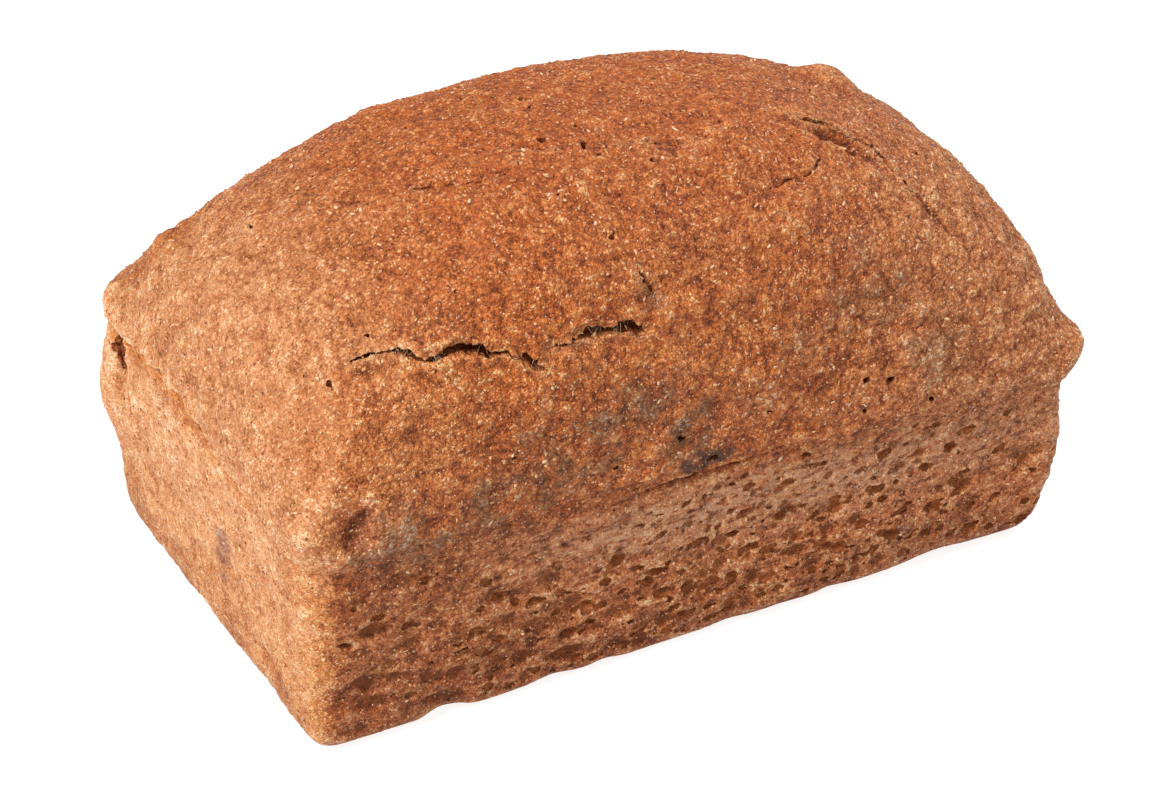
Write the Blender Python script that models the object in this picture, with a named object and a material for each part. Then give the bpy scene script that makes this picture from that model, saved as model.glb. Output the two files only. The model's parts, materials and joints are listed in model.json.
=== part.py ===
"""A spelt loaf baked in a tin: straight tin walls, a crease where the rim stood, and a high uneven dome.

Metres, +Z up. The origin is the middle of the underside. The loaf's length runs along X,
and -Y is its porous long side.
"""

import math
import random

import bmesh
import bpy
import numpy as np
from mathutils import Vector, noise

# The foot that the tin gives the dough, from its middle, and how far each wall leans out up to the rim
FOOT_REACH = {"left": 0.0807, "right": 0.0815, "near": 0.0445, "far": 0.0445}
WALL_LEAN = {"left": 0.0020, "right": 0.0034, "near": 0.0009, "far": 0.0019}

# Values at the four corners, keyed by the signs of x and y
BASE_EDGE_RADIUS = {(-1, -1): 0.0028, (1, -1): 0.0055, (-1, 1): 0.0095, (1, 1): 0.0050}
RIM_HEIGHT = {(-1, -1): 0.0385, (1, -1): 0.0345, (-1, 1): 0.0470, (1, 1): 0.0440}
CORNER_RADIUS_AT_BASE = {(-1, -1): 0.004, (1, -1): 0.005, (-1, 1): 0.007, (1, 1): 0.009}
CORNER_RADIUS_AT_RIM = {(-1, -1): 0.009, (1, -1): 0.007, (-1, 1): 0.008, (1, 1): 0.013}

# The dome that rose out of the tin
DOME_TOP = 0.0980
APEX = (-0.0082, -0.0064)
DOME_CURVE_X = {-1: 2.20, 1: 2.23}  # superellipse exponents: a higher one stays flat for longer
DOME_CURVE_Y = {-1: 2.62, 1: 2.25}
DOME_CORNER_FALL = {(-1, -1): 0.15, (1, -1): 0.04, (-1, 1): 0.27, (1, 1): 0.47}
DOME_SLOPE = 1.08  # above 1, the dome rises more slowly from its edge
SHOULDER_SWELL = {"left": 0.0016, "right": 0.0015, "near": 0.0016, "far": 0.0014}
LIP_HEIGHT = 0.0022  # from the crease up to the shoulder's widest line

# Bulges and dents of the crust: (middle in mm), radius in mm, height in mm. Below 0 it is a dent.
SWELLINGS = (
    ((-82.0, 41.0, 32.0), 16.0, 2.8),
    ((-81.0, 38.0, 56.0), 11.0, -2.0),
    ((-73.0, 32.0, 65.0), 7.5, 1.6),
    ((-37.0, 16.0, 92.0), 12.0, 1.1),
    ((82.5, -45.0, 17.0), 14.0, 1.5),
    ((84.0, -43.0, 34.0), 6.0, -1.0),
    ((85.0, -40.0, 42.0), 7.0, 1.1),
    ((81.0, -40.0, 51.0), 9.0, -1.6),
    ((49.0, -4.0, 88.0), 8.5, 1.7),
    ((-80.5, -33.0, 15.0), 14.0, 0.9),
    ((-74.5, -46.5, 47.5), 6.5, -1.6),
    ((-62.5, -43.4, 61.6), 3.2, -0.8),
    ((-14.8, -41.4, 75.0), 4.0, -1.1),
    ((-2.3, -46.8, 41.0), 5.0, -1.4),
    ((-9.3, -46.6, 48.0), 4.5, -0.8),
    ((-40.0, -45.5, 58.0), 12.0, 0.9),
    ((-60.0, -40.0, 69.0), 9.0, 0.9),
    ((12.0, -45.5, 58.0), 13.0, 1.0),
    ((46.0, -44.5, 52.0), 12.0, 0.9),
    ((-34.0, -20.0, 94.0), 7.0, -0.9),
    ((-55.0, -7.0, 88.0), 8.0, -0.7),
    ((-8.0, -8.0, 97.5), 15.0, 0.5),
    ((18.0, -38.0, 81.0), 9.0, 0.8),
    ((2.0, -20.0, 95.0), 8.0, -0.6),
    ((40.0, 26.0, 80.0), 14.0, 1.0),
    ((-30.0, 34.0, 80.0), 12.0, 0.9),
    ((0.0, 46.0, 62.0), 14.0, 0.8),
    ((-52.0, 44.0, 58.0), 9.0, -0.9),
    ((60.0, 40.0, 60.0), 10.0, -0.8),
    ((84.0, 10.0, 60.0), 12.0, 0.9),
    ((-81.0, -8.0, 20.0), 5.0, -0.6),
)
# Notches along the foot of the loaf, where the crust didn't fill the tin's edge
NOTCHES = (
    ((-54.0, -44.4, 1.5), 6.0, -1.5),
    ((-32.0, -44.4, 0.5), 5.0, -0.6),
    ((-20.5, -44.4, 1.0), 4.0, -0.8),
    ((6.0, -44.4, 0.5), 8.0, -0.4),
    ((30.0, -44.4, 0.5), 4.0, -0.5),
    ((57.0, -44.4, 0.0), 9.0, -0.7),
    ((-79.8, -24.0, 0.5), 5.0, -0.8),
    ((-79.8, 4.0, 0.5), 6.0, -1.0),
    ((79.8, 8.0, 0.5), 7.0, -1.3),
    ((-30.0, 44.4, 0.5), 7.0, -1.2),
    ((34.0, 44.4, 0.5), 6.0, -1.3),
)

# Splits in the crust: the points that each runs through in mm, half its widest gap and its depth in mm
SPLITS = (
    (
        ((-68.0, -33.0, 71.5), (-60.2, -36.0, 73.9), (-58.0, -38.3, 72.4), (-55.0, -38.9, 72.9),
         (-50.3, -39.5, 73.8), (-46.5, -40.9, 72.3), (-44.1, -41.1, 72.7), (-41.0, -42.6, 69.9),
         (-37.0, -43.5, 68.0)),
        2.3,
        3.2,
    ),
    (((-34.2, -42.3, 71.7), (-31.0, -42.3, 72.3), (-24.0, -42.8, 71.8), (-18.0, -43.2, 70.4)), 2.3, 3.2),
    (
        ((25.0, -18.5, 94.0), (29.5, -23.1, 91.7), (33.5, -24.0, 90.4), (38.0, -26.8, 87.8),
         (43.6, -30.2, 83.8), (46.0, -34.0, 79.6)),
        2.0,
        2.8,
    ),
    (((46.0, -34.0, 79.6), (50.0, -37.0, 75.0), (54.6, -39.5, 69.1)), 0.9, 0.9),
    (((27.7, -30.7, 87.8), (23.8, -33.0, 86.5), (18.3, -33.7, 86.6), (11.5, -34.6, 86.3)), 1.0, 1.4),
    (((-37.0, -43.5, 68.0), (-35.8, -44.6, 63.7), (-34.1, -45.0, 61.5)), 0.9, 0.8),
    (((-24.0, -46.0, 36.4), (-11.5, -46.2, 37.4), (3.0, -46.4, 37.8)), 0.9, 1.4),
    (((-82.0, 39.0, 50.5), (-82.5, 34.0, 44.5), (-81.5, 33.2, 34.0), (-81.2, 30.0, 27.6)), 1.5, 2.2),
    (((-47.4, -14.0, 91.2), (-40.5, -18.0, 93.0), (-33.7, -20.9, 94.0)), 1.1, 1.1),
    (((-31.3, -13.8, 95.8), (-22.7, -19.7, 96.0)), 1.1, 1.2),
)

# Pores of the long side, in rows along the tin's foot
PORE_ROWS = 13
PORE_ROW_LOWEST = 0.0035
PORE_ROW_STEP = 0.0026
PORES_A_ROW = 26
PORE_HALF_LENGTH = (0.0007, 0.0021)
PORE_FLATNESS = (0.45, 0.8)  # height as a share of the length
PORE_DEPTH_SHARE = 1.1  # depth as a share of the half length
PORE_SMALLNESS = 2.2  # above 1, small pores are the common ones
PORE_ROW_SCATTER = 0.4  # how far a pore strays from its row, as a share of the rows' step
PORES_DENSEST_AT = 0.012
PORES_SPREAD = 0.045
PORES_ANYWHERE = 0.35  # chance of a pore far from the densest place
PORES_MORE = 0.5  # added at the densest place, and taken away at the topmost row
SMALLEST_PORE = 0.0011  # half length of the smallest pore that is cut in the solid
PORE_SEED = 19

# The crust's unevenness: wavelength and height of each layer
DOME_UNEVENNESS = ((0.030, 0.0006), (0.012, 0.0005), (0.006, 0.0003))
WALL_UNEVENNESS = ((0.035, 0.0005), (0.010, 0.0003))

CELL = 0.00105
DOME_STRETCH = 1.25  # the way over the dome is longer than the foot is wide, so it gets more cells
LIP_CELLS = 4
TRIANGLES = 11400
TINY = 1e-6

CRUST_COLOUR = (0.42, 0.15, 0.045)
CRUST_ROUGHNESS = 0.75


def side_sizes(px, py, wall_share, lip_share):
    """Half the length and half the width on this side of the middle, at a place up the wall and lip."""
    end = "left" if px < 0 else "right"
    face = "near" if py < 0 else "far"
    half_length = FOOT_REACH[end] + WALL_LEAN[end] * wall_share + SHOULDER_SWELL[end] * lip_share
    half_width = FOOT_REACH[face] + WALL_LEAN[face] * wall_share + SHOULDER_SWELL[face] * lip_share
    return half_length, half_width


def between_corners(values, px, py):
    """A corner table's values, mixed for a place given as shares of the half sizes."""
    u = min(1.0, max(0.0, (px + 1.0) / 2.0))
    v = min(1.0, max(0.0, (py + 1.0) / 2.0))
    near = values[(-1, -1)] * (1.0 - u) + values[(1, -1)] * u
    far = values[(-1, 1)] * (1.0 - u) + values[(1, 1)] * u
    return near * (1.0 - v) + far * v


def corner_radius(px, py, wall_share):
    key = (-1 if px < 0 else 1, -1 if py < 0 else 1)
    low, high = CORNER_RADIUS_AT_BASE[key], CORNER_RADIUS_AT_RIM[key]
    return low + (high - low) * wall_share


def rounded_plan(px, py, half_length, half_width, radius):
    """A place on a square's edge, carried to a rectangle with round corners."""
    x, y = half_length * px, half_width * py
    core_x = min(half_length - radius, max(radius - half_length, x))
    core_y = min(half_width - radius, max(radius - half_width, y))
    reach = math.hypot(x - core_x, y - core_y)
    if reach < TINY:
        return x, y
    return core_x + (x - core_x) / reach * radius, core_y + (y - core_y) / reach * radius


def dome_height(x, y):
    """The top surface over a place in plan."""
    half_length, half_width = side_sizes(x, y, 1.0, 1.0)
    curve_x = DOME_CURVE_X[-1 if x < APEX[0] else 1]
    curve_y = DOME_CURVE_Y[-1 if y < APEX[1] else 1]
    edge_x = side_sizes(x - APEX[0], y, 1.0, 1.0)[0] + (APEX[0] if x < APEX[0] else -APEX[0])
    edge_y = side_sizes(x, y - APEX[1], 1.0, 1.0)[1] + (APEX[1] if y < APEX[1] else -APEX[1])
    u = min(1.0, abs(x - APEX[0]) / edge_x)
    v = min(1.0, abs(y - APEX[1]) / edge_y)
    along = (1.0 - u ** curve_x) ** (1.0 / curve_x)
    across = (1.0 - v ** curve_y) ** (1.0 / curve_y)
    fall = DOME_CORNER_FALL[(-1 if x < APEX[0] else 1, -1 if y < APEX[1] else 1)] * (u * v) ** 2
    edge = between_corners(RIM_HEIGHT, x / half_length, y / half_width) + LIP_HEIGHT
    return edge + (DOME_TOP - edge) * (along * across) ** DOME_SLOPE * (1.0 - fall)


def wall_place(px, py, share):
    """A place on the wall: share runs from 0 at the underside to 1 at the crease."""
    half_length, half_width = side_sizes(px, py, share, 0.0)
    x, y = rounded_plan(px, py, half_length, half_width, corner_radius(px, py, share))
    z = share * between_corners(RIM_HEIGHT, px, py)
    edge_radius = between_corners(BASE_EDGE_RADIUS, px, py)
    below = max(0.0, 1.0 - z / edge_radius)
    inset = edge_radius * (1.0 - math.sqrt(1.0 - below * below))
    return x * (1.0 - inset / half_length), y * (1.0 - inset / half_width), z


def lip_place(px, py, share):
    """A place on the shoulder's underside: share runs from 0 at the crease to 1 at the widest line."""
    half_length, half_width = side_sizes(px, py, 1.0, math.sin(share * math.pi / 2.0))
    x, y = rounded_plan(px, py, half_length, half_width, corner_radius(px, py, 1.0))
    low = between_corners(RIM_HEIGHT, px, py)
    return x, y, low + (dome_height(x, y) - low) * (1.0 - math.cos(share * math.pi / 2.0))


def dome_place(cx, cy):
    """A place on the dome, from the cube's top face."""
    ring = max(abs(cx), abs(cy))
    if ring < TINY:
        return 0.0, 0.0, dome_height(0.0, 0.0)
    px, py = cx / ring, cy / ring
    spread = math.sin(ring * math.pi / 2.0)
    half_length, half_width = side_sizes(px, py, 1.0, 1.0)
    radius = corner_radius(px, py, 1.0)
    x, y = rounded_plan(px, py, half_length * spread, half_width * spread, radius * spread)
    return x, y, dome_height(x, y)


def base_place(cx, cy):
    """A place on the flat underside, from the cube's bottom face."""
    ring = max(abs(cx), abs(cy))
    if ring < TINY:
        return 0.0, 0.0, 0.0
    x, y, z = wall_place(cx / ring, cy / ring, 0.0)
    return x * ring, y * ring, z


def loaf_blank():
    """A cube cut into cells of about the same size and carried onto the loaf's plain form."""
    bm = bmesh.new()
    bmesh.ops.create_cube(bm, size=2.0)
    wall_cells = round(max(RIM_HEIGHT.values()) / CELL)
    length = FOOT_REACH["left"] + FOOT_REACH["right"]
    width = FOOT_REACH["near"] + FOOT_REACH["far"]
    rows = (round(length / CELL), round(width * DOME_STRETCH / CELL), wall_cells + LIP_CELLS)
    for axis, row in enumerate(rows):
        edges = [e for e in bm.edges if abs((e.verts[0].co - e.verts[1].co)[axis]) > TINY]
        bmesh.ops.subdivide_edges(bm, edges=edges, cuts=row - 1, use_grid_fill=True)
    crease_row = wall_cells / rows[2]
    for vert in bm.verts:
        cx, cy, cz = vert.co
        row = (cz + 1.0) / 2.0
        if cz > 1.0 - TINY:
            vert.co = dome_place(cx, cy)
        elif cz < TINY - 1.0:
            vert.co = base_place(cx, cy)
        elif row <= crease_row:
            vert.co = wall_place(cx, cy, row / crease_row)
        else:
            vert.co = lip_place(cx, cy, (row - crease_row) / (1.0 - crease_row))
    bmesh.ops.triangulate(bm, faces=bm.faces)
    bm.normal_update()
    return bm


def unevenness(places, layers):
    """Soft lumps from layers of noise, in metres along the normal."""
    rise = np.zeros(len(places))
    for wavelength, height in layers:
        rise += [noise.noise(Vector(place) / wavelength) * height for place in places]
    return rise


def swelling_rise(places, swelling):
    """A round bulge or dent that fades out at its radius."""
    middle, radius, height = swelling
    reach = np.linalg.norm(places * 1000.0 - np.array(middle), axis=1) / radius
    return np.where(reach < 1.0, (1.0 - reach ** 2) ** 2, 0.0) * height / 1000.0


def split_rise(places, split):
    """A split's groove: deepest along the middle of its route, and closed at both ends."""
    points, half_gap, depth = split
    points = np.array(points)
    runs = np.linalg.norm(np.diff(points, axis=0), axis=1)
    starts = np.concatenate([[0.0], np.cumsum(runs)])
    nearest = np.full(len(places), np.inf)
    travelled = np.zeros(len(places))
    for start, step, run, before in zip(points[:-1], np.diff(points, axis=0), runs, starts):
        share = np.clip((places * 1000.0 - start) @ step / run ** 2, 0.0, 1.0)
        away = np.linalg.norm(places * 1000.0 - start - share[:, None] * step, axis=1)
        closer = away < nearest
        nearest = np.where(closer, away, nearest)
        travelled = np.where(closer, (before + share * run) / starts[-1], travelled)
    open_here = np.sqrt(np.sin(np.pi * np.clip(travelled, 0.03, 0.97)))
    across = np.clip(1.0 - (nearest / (half_gap * open_here)) ** 2, 0.0, None)
    return -across * open_here * depth / 1000.0


def long_side_pores():
    """(x, z, half length, half height, depth) of each pore, in rows that thin out to the left and the rim."""
    draw = random.Random(PORE_SEED)
    pores = []
    for row in range(PORE_ROWS):
        height = PORE_ROW_LOWEST + row * PORE_ROW_STEP
        for place in range(PORES_A_ROW):
            along = (place + draw.uniform(0.1, 0.9)) / PORES_A_ROW
            x = (FOOT_REACH["left"] + FOOT_REACH["right"]) * along - FOOT_REACH["left"]
            z = height + draw.uniform(-PORE_ROW_SCATTER, PORE_ROW_SCATTER) * PORE_ROW_STEP
            size = draw.uniform(0.0, 1.0) ** PORE_SMALLNESS
            half_length = PORE_HALF_LENGTH[0] + (PORE_HALF_LENGTH[1] - PORE_HALF_LENGTH[0]) * size
            flatness = draw.uniform(*PORE_FLATNESS)
            crowding = math.exp(-((x - PORES_DENSEST_AT) / PORES_SPREAD) ** 2) - (row / PORE_ROWS) ** 2
            wanted = PORES_ANYWHERE + PORES_MORE * crowding
            if draw.uniform(0.0, 1.0) < wanted:
                depth = half_length * PORE_DEPTH_SHARE
                pores.append((x, z, half_length, half_length * flatness, depth))
    return pores


def pore_rise(places, facing):
    """The pores' hollows, cut only where the surface is the long side's wall."""
    rise = np.zeros(len(places))
    for x, z, half_length, half_height, depth in long_side_pores():
        if half_length < SMALLEST_PORE:
            continue
        reach = ((places[:, 0] - x) / half_length) ** 2 + ((places[:, 2] - z) / half_height) ** 2
        rise = np.minimum(rise, -depth * np.clip(1.0 - reach, 0.0, None) * facing)
    return rise


def crease_line(places):
    """How far above or below the crease each place lies, from -1 on the wall to 1 on the dome."""
    shares_x = places[:, 0] / FOOT_REACH["right"]
    shares_y = places[:, 1] / FOOT_REACH["far"]
    lines = np.array([between_corners(RIM_HEIGHT, x, y) for x, y in zip(shares_x, shares_y)])
    return np.clip((places[:, 2] - lines) / LIP_HEIGHT, -1.0, 1.0)


def add_relief(bm):
    """Moves every point of the blank along its normal: lumps, dents, notches, splits and pores."""
    places = np.array([vert.co for vert in bm.verts])
    normals = np.array([vert.normal for vert in bm.verts])
    dome_share = (crease_line(places) + 1.0) / 2.0
    rise = unevenness(places, DOME_UNEVENNESS) * dome_share
    rise += unevenness(places, WALL_UNEVENNESS) * (1.0 - dome_share)
    for swelling in SWELLINGS:
        rise += swelling_rise(places, swelling)
    rise += np.min([split_rise(places, split) for split in SPLITS], axis=0)
    rise += pore_rise(places, np.clip(-normals[:, 1] * 2.0 - 1.0, 0.0, 1.0))
    underside = normals[:, 2] < -0.9
    rise[underside] = 0.0
    for notch in NOTCHES:
        rise += swelling_rise(places, notch)
    places += normals * rise[:, None]
    places[:, 2] = np.maximum(places[:, 2], 0.0)
    middle = (places.min(axis=0) + places.max(axis=0)) / 2.0
    places[:, :2] -= middle[:2]
    for vert, place in zip(bm.verts, places):
        vert.co = place


def crust_material():
    material = bpy.data.materials.new("crust")
    material.use_nodes = True
    shader = material.node_tree.nodes["Principled BSDF"]
    shader.inputs["Base Color"].default_value = (*CRUST_COLOUR, 1.0)
    shader.inputs["Roughness"].default_value = CRUST_ROUGHNESS
    shader.inputs["Metallic"].default_value = 0.0
    material.diffuse_color = (*CRUST_COLOUR, 1.0)
    return material


def add_loaf():
    """The loaf as one object, thinned to its triangle count where the crust is smooth."""
    bm = loaf_blank()
    add_relief(bm)
    mesh = bpy.data.meshes.new("loaf")
    bm.to_mesh(mesh)
    bm.free()
    mesh.materials.append(crust_material())
    mesh.shade_smooth()
    loaf = bpy.data.objects.new("loaf", mesh)
    bpy.context.scene.collection.objects.link(loaf)
    thin = loaf.modifiers.new("thin", "DECIMATE")
    thin.decimate_type = "COLLAPSE"
    thin.ratio = TRIANGLES / len(mesh.polygons)
    return loaf


def main():
    for obj in list(bpy.data.objects):
        bpy.data.objects.remove(obj)
    add_loaf()


main()
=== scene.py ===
"""The looks of a spelt loaf: its torn dome, its porous tin walls and the grain and bran in its crust."""

import json
import math
import random

import bpy
import numpy as np
from mathutils import Matrix, Vector, bvhtree, noise

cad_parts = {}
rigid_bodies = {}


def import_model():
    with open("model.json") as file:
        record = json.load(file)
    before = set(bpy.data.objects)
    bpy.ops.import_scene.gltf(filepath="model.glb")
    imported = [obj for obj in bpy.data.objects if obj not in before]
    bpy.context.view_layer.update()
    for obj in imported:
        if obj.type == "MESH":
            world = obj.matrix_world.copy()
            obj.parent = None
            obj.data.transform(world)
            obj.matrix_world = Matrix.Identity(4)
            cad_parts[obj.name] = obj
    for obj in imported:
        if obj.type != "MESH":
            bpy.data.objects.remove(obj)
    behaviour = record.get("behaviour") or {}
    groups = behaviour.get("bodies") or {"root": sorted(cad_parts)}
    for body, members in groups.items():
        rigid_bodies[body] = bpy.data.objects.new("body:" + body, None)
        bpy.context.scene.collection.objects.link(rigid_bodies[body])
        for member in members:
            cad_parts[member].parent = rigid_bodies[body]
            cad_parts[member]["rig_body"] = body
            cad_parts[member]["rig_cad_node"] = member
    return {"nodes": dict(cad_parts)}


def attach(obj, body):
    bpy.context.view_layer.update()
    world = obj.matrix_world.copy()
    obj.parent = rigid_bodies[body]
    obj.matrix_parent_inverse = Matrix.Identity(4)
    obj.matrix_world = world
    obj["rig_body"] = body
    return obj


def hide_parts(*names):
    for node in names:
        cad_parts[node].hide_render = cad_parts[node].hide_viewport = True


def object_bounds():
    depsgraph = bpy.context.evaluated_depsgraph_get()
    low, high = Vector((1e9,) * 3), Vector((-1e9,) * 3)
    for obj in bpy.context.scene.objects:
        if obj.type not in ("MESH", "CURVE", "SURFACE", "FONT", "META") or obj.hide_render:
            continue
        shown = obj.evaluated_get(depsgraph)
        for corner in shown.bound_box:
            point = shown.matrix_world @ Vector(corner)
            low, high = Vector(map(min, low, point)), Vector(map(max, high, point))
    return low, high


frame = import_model()
cad_low, cad_high = [Vector(corner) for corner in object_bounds()]

MM = 0.001

# How finely each stage of the crust is modelled
CRUST_CELL = 0.48 * MM
CUTTER_CELL = 0.28 * MM
CRUST_TRIANGLES = 366000
# The crust is split in two pieces this far above the tin's rim, in mm
DOME_STARTS_ABOVE_RIM = 2.0
# The hidden lids that close the dome and the walls meet at this height in mm, in the loaf's middle
LID_HEIGHT = 36.0
# How ragged the cut edges are
RAGGED_SIZE = 1.0 * MM
RAGGED_HEIGHT = 0.85 * MM

# The camera stands where the photograph was taken from
IMAGE_WIDTH = 1172
FOCAL_PIXELS = 3000.0
SENSOR = 36.0
VIEW_TARGET = Vector((-0.0102, -0.0138, 0.0376))
VIEW_DISTANCE = 0.5647
VIEW_AZIMUTH = math.radians(-32.33)
VIEW_ELEVATION = math.radians(30.84)
VIEW_ROLL = math.radians(2.88)

# The tin in mm: its length and width, and its rim's height at the corners, keyed by the signs of x and y
TIN_LENGTH = 163.0
TIN_WIDTH = 89.0
RIM_HEIGHT = {(-1, -1): 38.5, (1, -1): 34.5, (-1, 1): 47.0, (1, 1): 44.0}

# Planes in mm close to the loaf's near, far, left and right wall
NEAR_Y = -46.0
FAR_Y = 47.0
LEFT_X = -84.0
RIGHT_X = 84.0

# The relief of the crust in mm: the size of its bumps, and how high they stand
LUMPS = ((9.0, 0.0, 0.46), (4.4, 3.0, 0.36), (2.3, 7.0, 0.18))
STREAK_SIZE, STREAK_HEIGHT = 2.2, 0.26
COBBLE_SIZE, COBBLE_HEIGHT = 2.5, 0.30
SWELL_SIZE, SWELL_HEIGHT, SWELL_WARP = 6.0, 0.50, 1.6
GRIT_SIZE, GRIT_HEIGHT = 0.95, 0.26
# Streaks run along the loaf
ALONG_THE_LOAF = (0.35, 1.0, 1.0)
# The mean of the cobbles' own rise, taken off so that they neither swell nor shrink the loaf
COBBLE_MEAN = 0.75
# The crust starts this far inside the solid, so that its bumps stay within the solid's box
CRUST_INSET = 0.30

# Tears in the crust, in mm: points as (x, y, z, half the gap there), the depth, and how steeply
# the tear dives under the crust above it
TEARS = {
    "main": (
        ((-69.5, -32.0, 72.0, 0.12), (-67.0, -33.0, 72.7, 0.42), (-64.4, -34.3, 73.0, 0.14),
         (-61.4, -35.7, 73.2, 0.60), (-60.1, -36.6, 72.6, 0.78), (-58.5, -38.0, 71.3, 0.28),
         (-56.6, -38.9, 71.1, 0.36), (-55.2, -38.6, 71.9, 0.50), (-53.1, -38.1, 73.0, 0.85),
         (-50.8, -38.9, 72.9, 1.05), (-48.6, -39.8, 72.3, 0.80), (-47.2, -40.8, 71.2, 0.75),
         (-44.8, -41.3, 71.6, 0.22), (-43.0, -42.4, 70.5, 0.22), (-41.0, -43.3, 69.4, 0.80),
         (-38.9, -44.0, 68.4, 0.85), (-37.8, -44.3, 67.7, 0.15)),
        3.6, 0.60,
    ),
    "second": (
        ((-36.2, -42.7, 71.0, 0.15), (-32.5, -42.2, 71.0, 0.34), (-29.2, -42.0, 71.3, 0.60),
         (-27.0, -41.8, 71.6, 0.95), (-24.2, -42.2, 71.2, 0.80), (-22.6, -42.4, 71.1, 1.00),
         (-21.0, -42.6, 71.0, 1.20), (-18.8, -43.4, 70.3, 0.95), (-17.6, -44.0, 69.7, 0.15)),
        4.0, 0.60,
    ),
    "crown": (
        ((23.0, -17.0, 95.0, 0.12), (26.5, -19.6, 93.8, 0.20), (28.8, -22.2, 92.3, 0.26),
         (33.1, -23.2, 90.9, 0.30), (35.2, -24.1, 90.2, 0.46), (37.6, -25.7, 88.8, 0.30),
         (39.4, -27.1, 87.3, 0.24), (43.6, -30.5, 84.2, 0.30), (46.4, -35.0, 79.7, 0.14)),
        2.0, 0.15,
    ),
    "inner": (
        ((27.4, -30.6, 88.6, 0.24), (25.5, -32.0, 88.0, 0.28), (23.3, -33.4, 87.3, 0.24),
         (18.1, -33.9, 87.2, 0.24), (12.5, -34.9, 87.4, 0.32), (10.8, -35.2, 87.3, 0.14)),
        1.3, 0.20,
    ),
    "rim": (
        ((-16.0, -46.0, 37.3, 0.20), (-12.5, -46.0, 37.5, 0.42), (-5.0, -46.2, 37.8, 0.34),
         (3.2, -46.2, 38.0, 0.46), (7.0, -46.3, 38.4, 0.20)),
        1.5, 0.10,
    ),
    "crevice": (
        ((-17.2, -39.3, 80.2, 0.15), (-15.8, -40.4, 77.9, 0.42), (-14.8, -41.2, 76.0, 0.25),
         (-14.2, -41.8, 74.5, 0.14)),
        1.8, 0.20,
    ),
    "far left": (
        ((-84.1, 37.5, 46.5, 0.35), (-84.1, 35.4, 44.3, 0.85), (-83.9, 34.8, 42.7, 0.90),
         (-83.6, 34.0, 40.1, 0.45), (-84.5, 31.5, 38.0, 0.14)),
        1.8, 0.40,
    ),
    "scar": (
        ((-47.4, -14.0, 91.2, 0.18), (-40.5, -18.0, 93.0, 0.30), (-33.7, -20.9, 94.0, 0.22)),
        1.2, 0.30,
    ),
    "scar above": (
        ((-31.3, -13.8, 95.8, 0.14), (-27.0, -16.6, 96.0, 0.18), (-22.7, -19.7, 96.0, 0.14)),
        0.8, 0.20,
    ),
    "thread": (
        ((-11.0, -21.5, 96.0, 0.14), (-4.0, -23.6, 95.2, 0.20), (4.2, -25.6, 94.0, 0.14)),
        0.8, 0.20,
    ),
}
# A tear shallower than this opens only here and there, like a row of stitches
STITCHED_BELOW = 1.6
# The balls that cut a tear follow each other at this distance in mm
TEAR_BALL_STEP = 0.40
# How far the pale lip reaches from an open tear and from a stitched one, in mm
OPEN_LIP = 2.2
STITCHED_LIP = 1.1

# Tears that strands of crumb still hold across, with the shares of the way where most strands are
FIBRED_TEARS = {
    "main": (0.20, 0.24, 0.42),
    "second": (0.55, 0.72, 0.76),
    "crown": (0.15, 0.3, 0.45),
    "crevice": (0.6, 0.9),
}
FIBRES_A_MM = 1.0
# How far along a strand of crumb its four rings of points lie
STRAND_STEPS = (0.0, 0.33, 0.66, 1.0)
STRAND_SIDES = 3

# The wide soft grooves of the solid round the tears, filled again as far as the real crust fills them
SOFT_GROOVES = (
    (((-68.0, -33.0, 71.5), (-60.2, -36.0, 73.9), (-58.0, -38.3, 72.4), (-55.0, -38.9, 72.9),
      (-50.3, -39.5, 73.8), (-46.5, -40.9, 72.3), (-44.1, -41.1, 72.7), (-41.0, -42.6, 69.9),
      (-37.0, -43.5, 68.0)), 2.3, 3.2),
    (((-34.2, -42.3, 71.7), (-31.0, -42.3, 72.3), (-24.0, -42.8, 71.8), (-18.0, -43.2, 70.4)), 2.3, 3.2),
    (((25.0, -18.5, 94.0), (29.5, -23.1, 91.7), (33.5, -24.0, 90.4), (38.0, -26.8, 87.8),
      (43.6, -30.2, 83.8), (46.0, -34.0, 79.6)), 2.0, 2.8),
)
GROOVE_SHIFT_X = -1.1
GROOVE_FILL = 0.90
GROOVE_WIDER = 1.15
# The heart of the loaf, which the grooves are filled away from: its height in mm, and the share of x
# at which it lies below a place
HEART_HEIGHT = 45.0
HEART_SHARE = 0.7

# The crease of the left end, where the dome hangs over the wall: (y, z) in mm, and the step's depth
LEFT_CREASE = (
    (-36.0, 46.5), (-28.5, 45.0), (-15.5, 43.6), (-7.5, 45.8), (-1.3, 46.6), (4.4, 48.2), (11.0, 48.4),
    (17.5, 49.4), (22.4, 49.0), (31.0, 47.4), (38.0, 48.0),
)
LEFT_STEP = 1.7

# Knobs that stand out of the crust, in mm: the middle, the radius and the height
KNOBS = (((48.0, -3.2, 89.0), 8.5, 1.6), ((43.0, -1.5, 91.5), 6.5, 0.7), ((-76.0, 33.0, 65.5), 4.5, 0.7))

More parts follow.
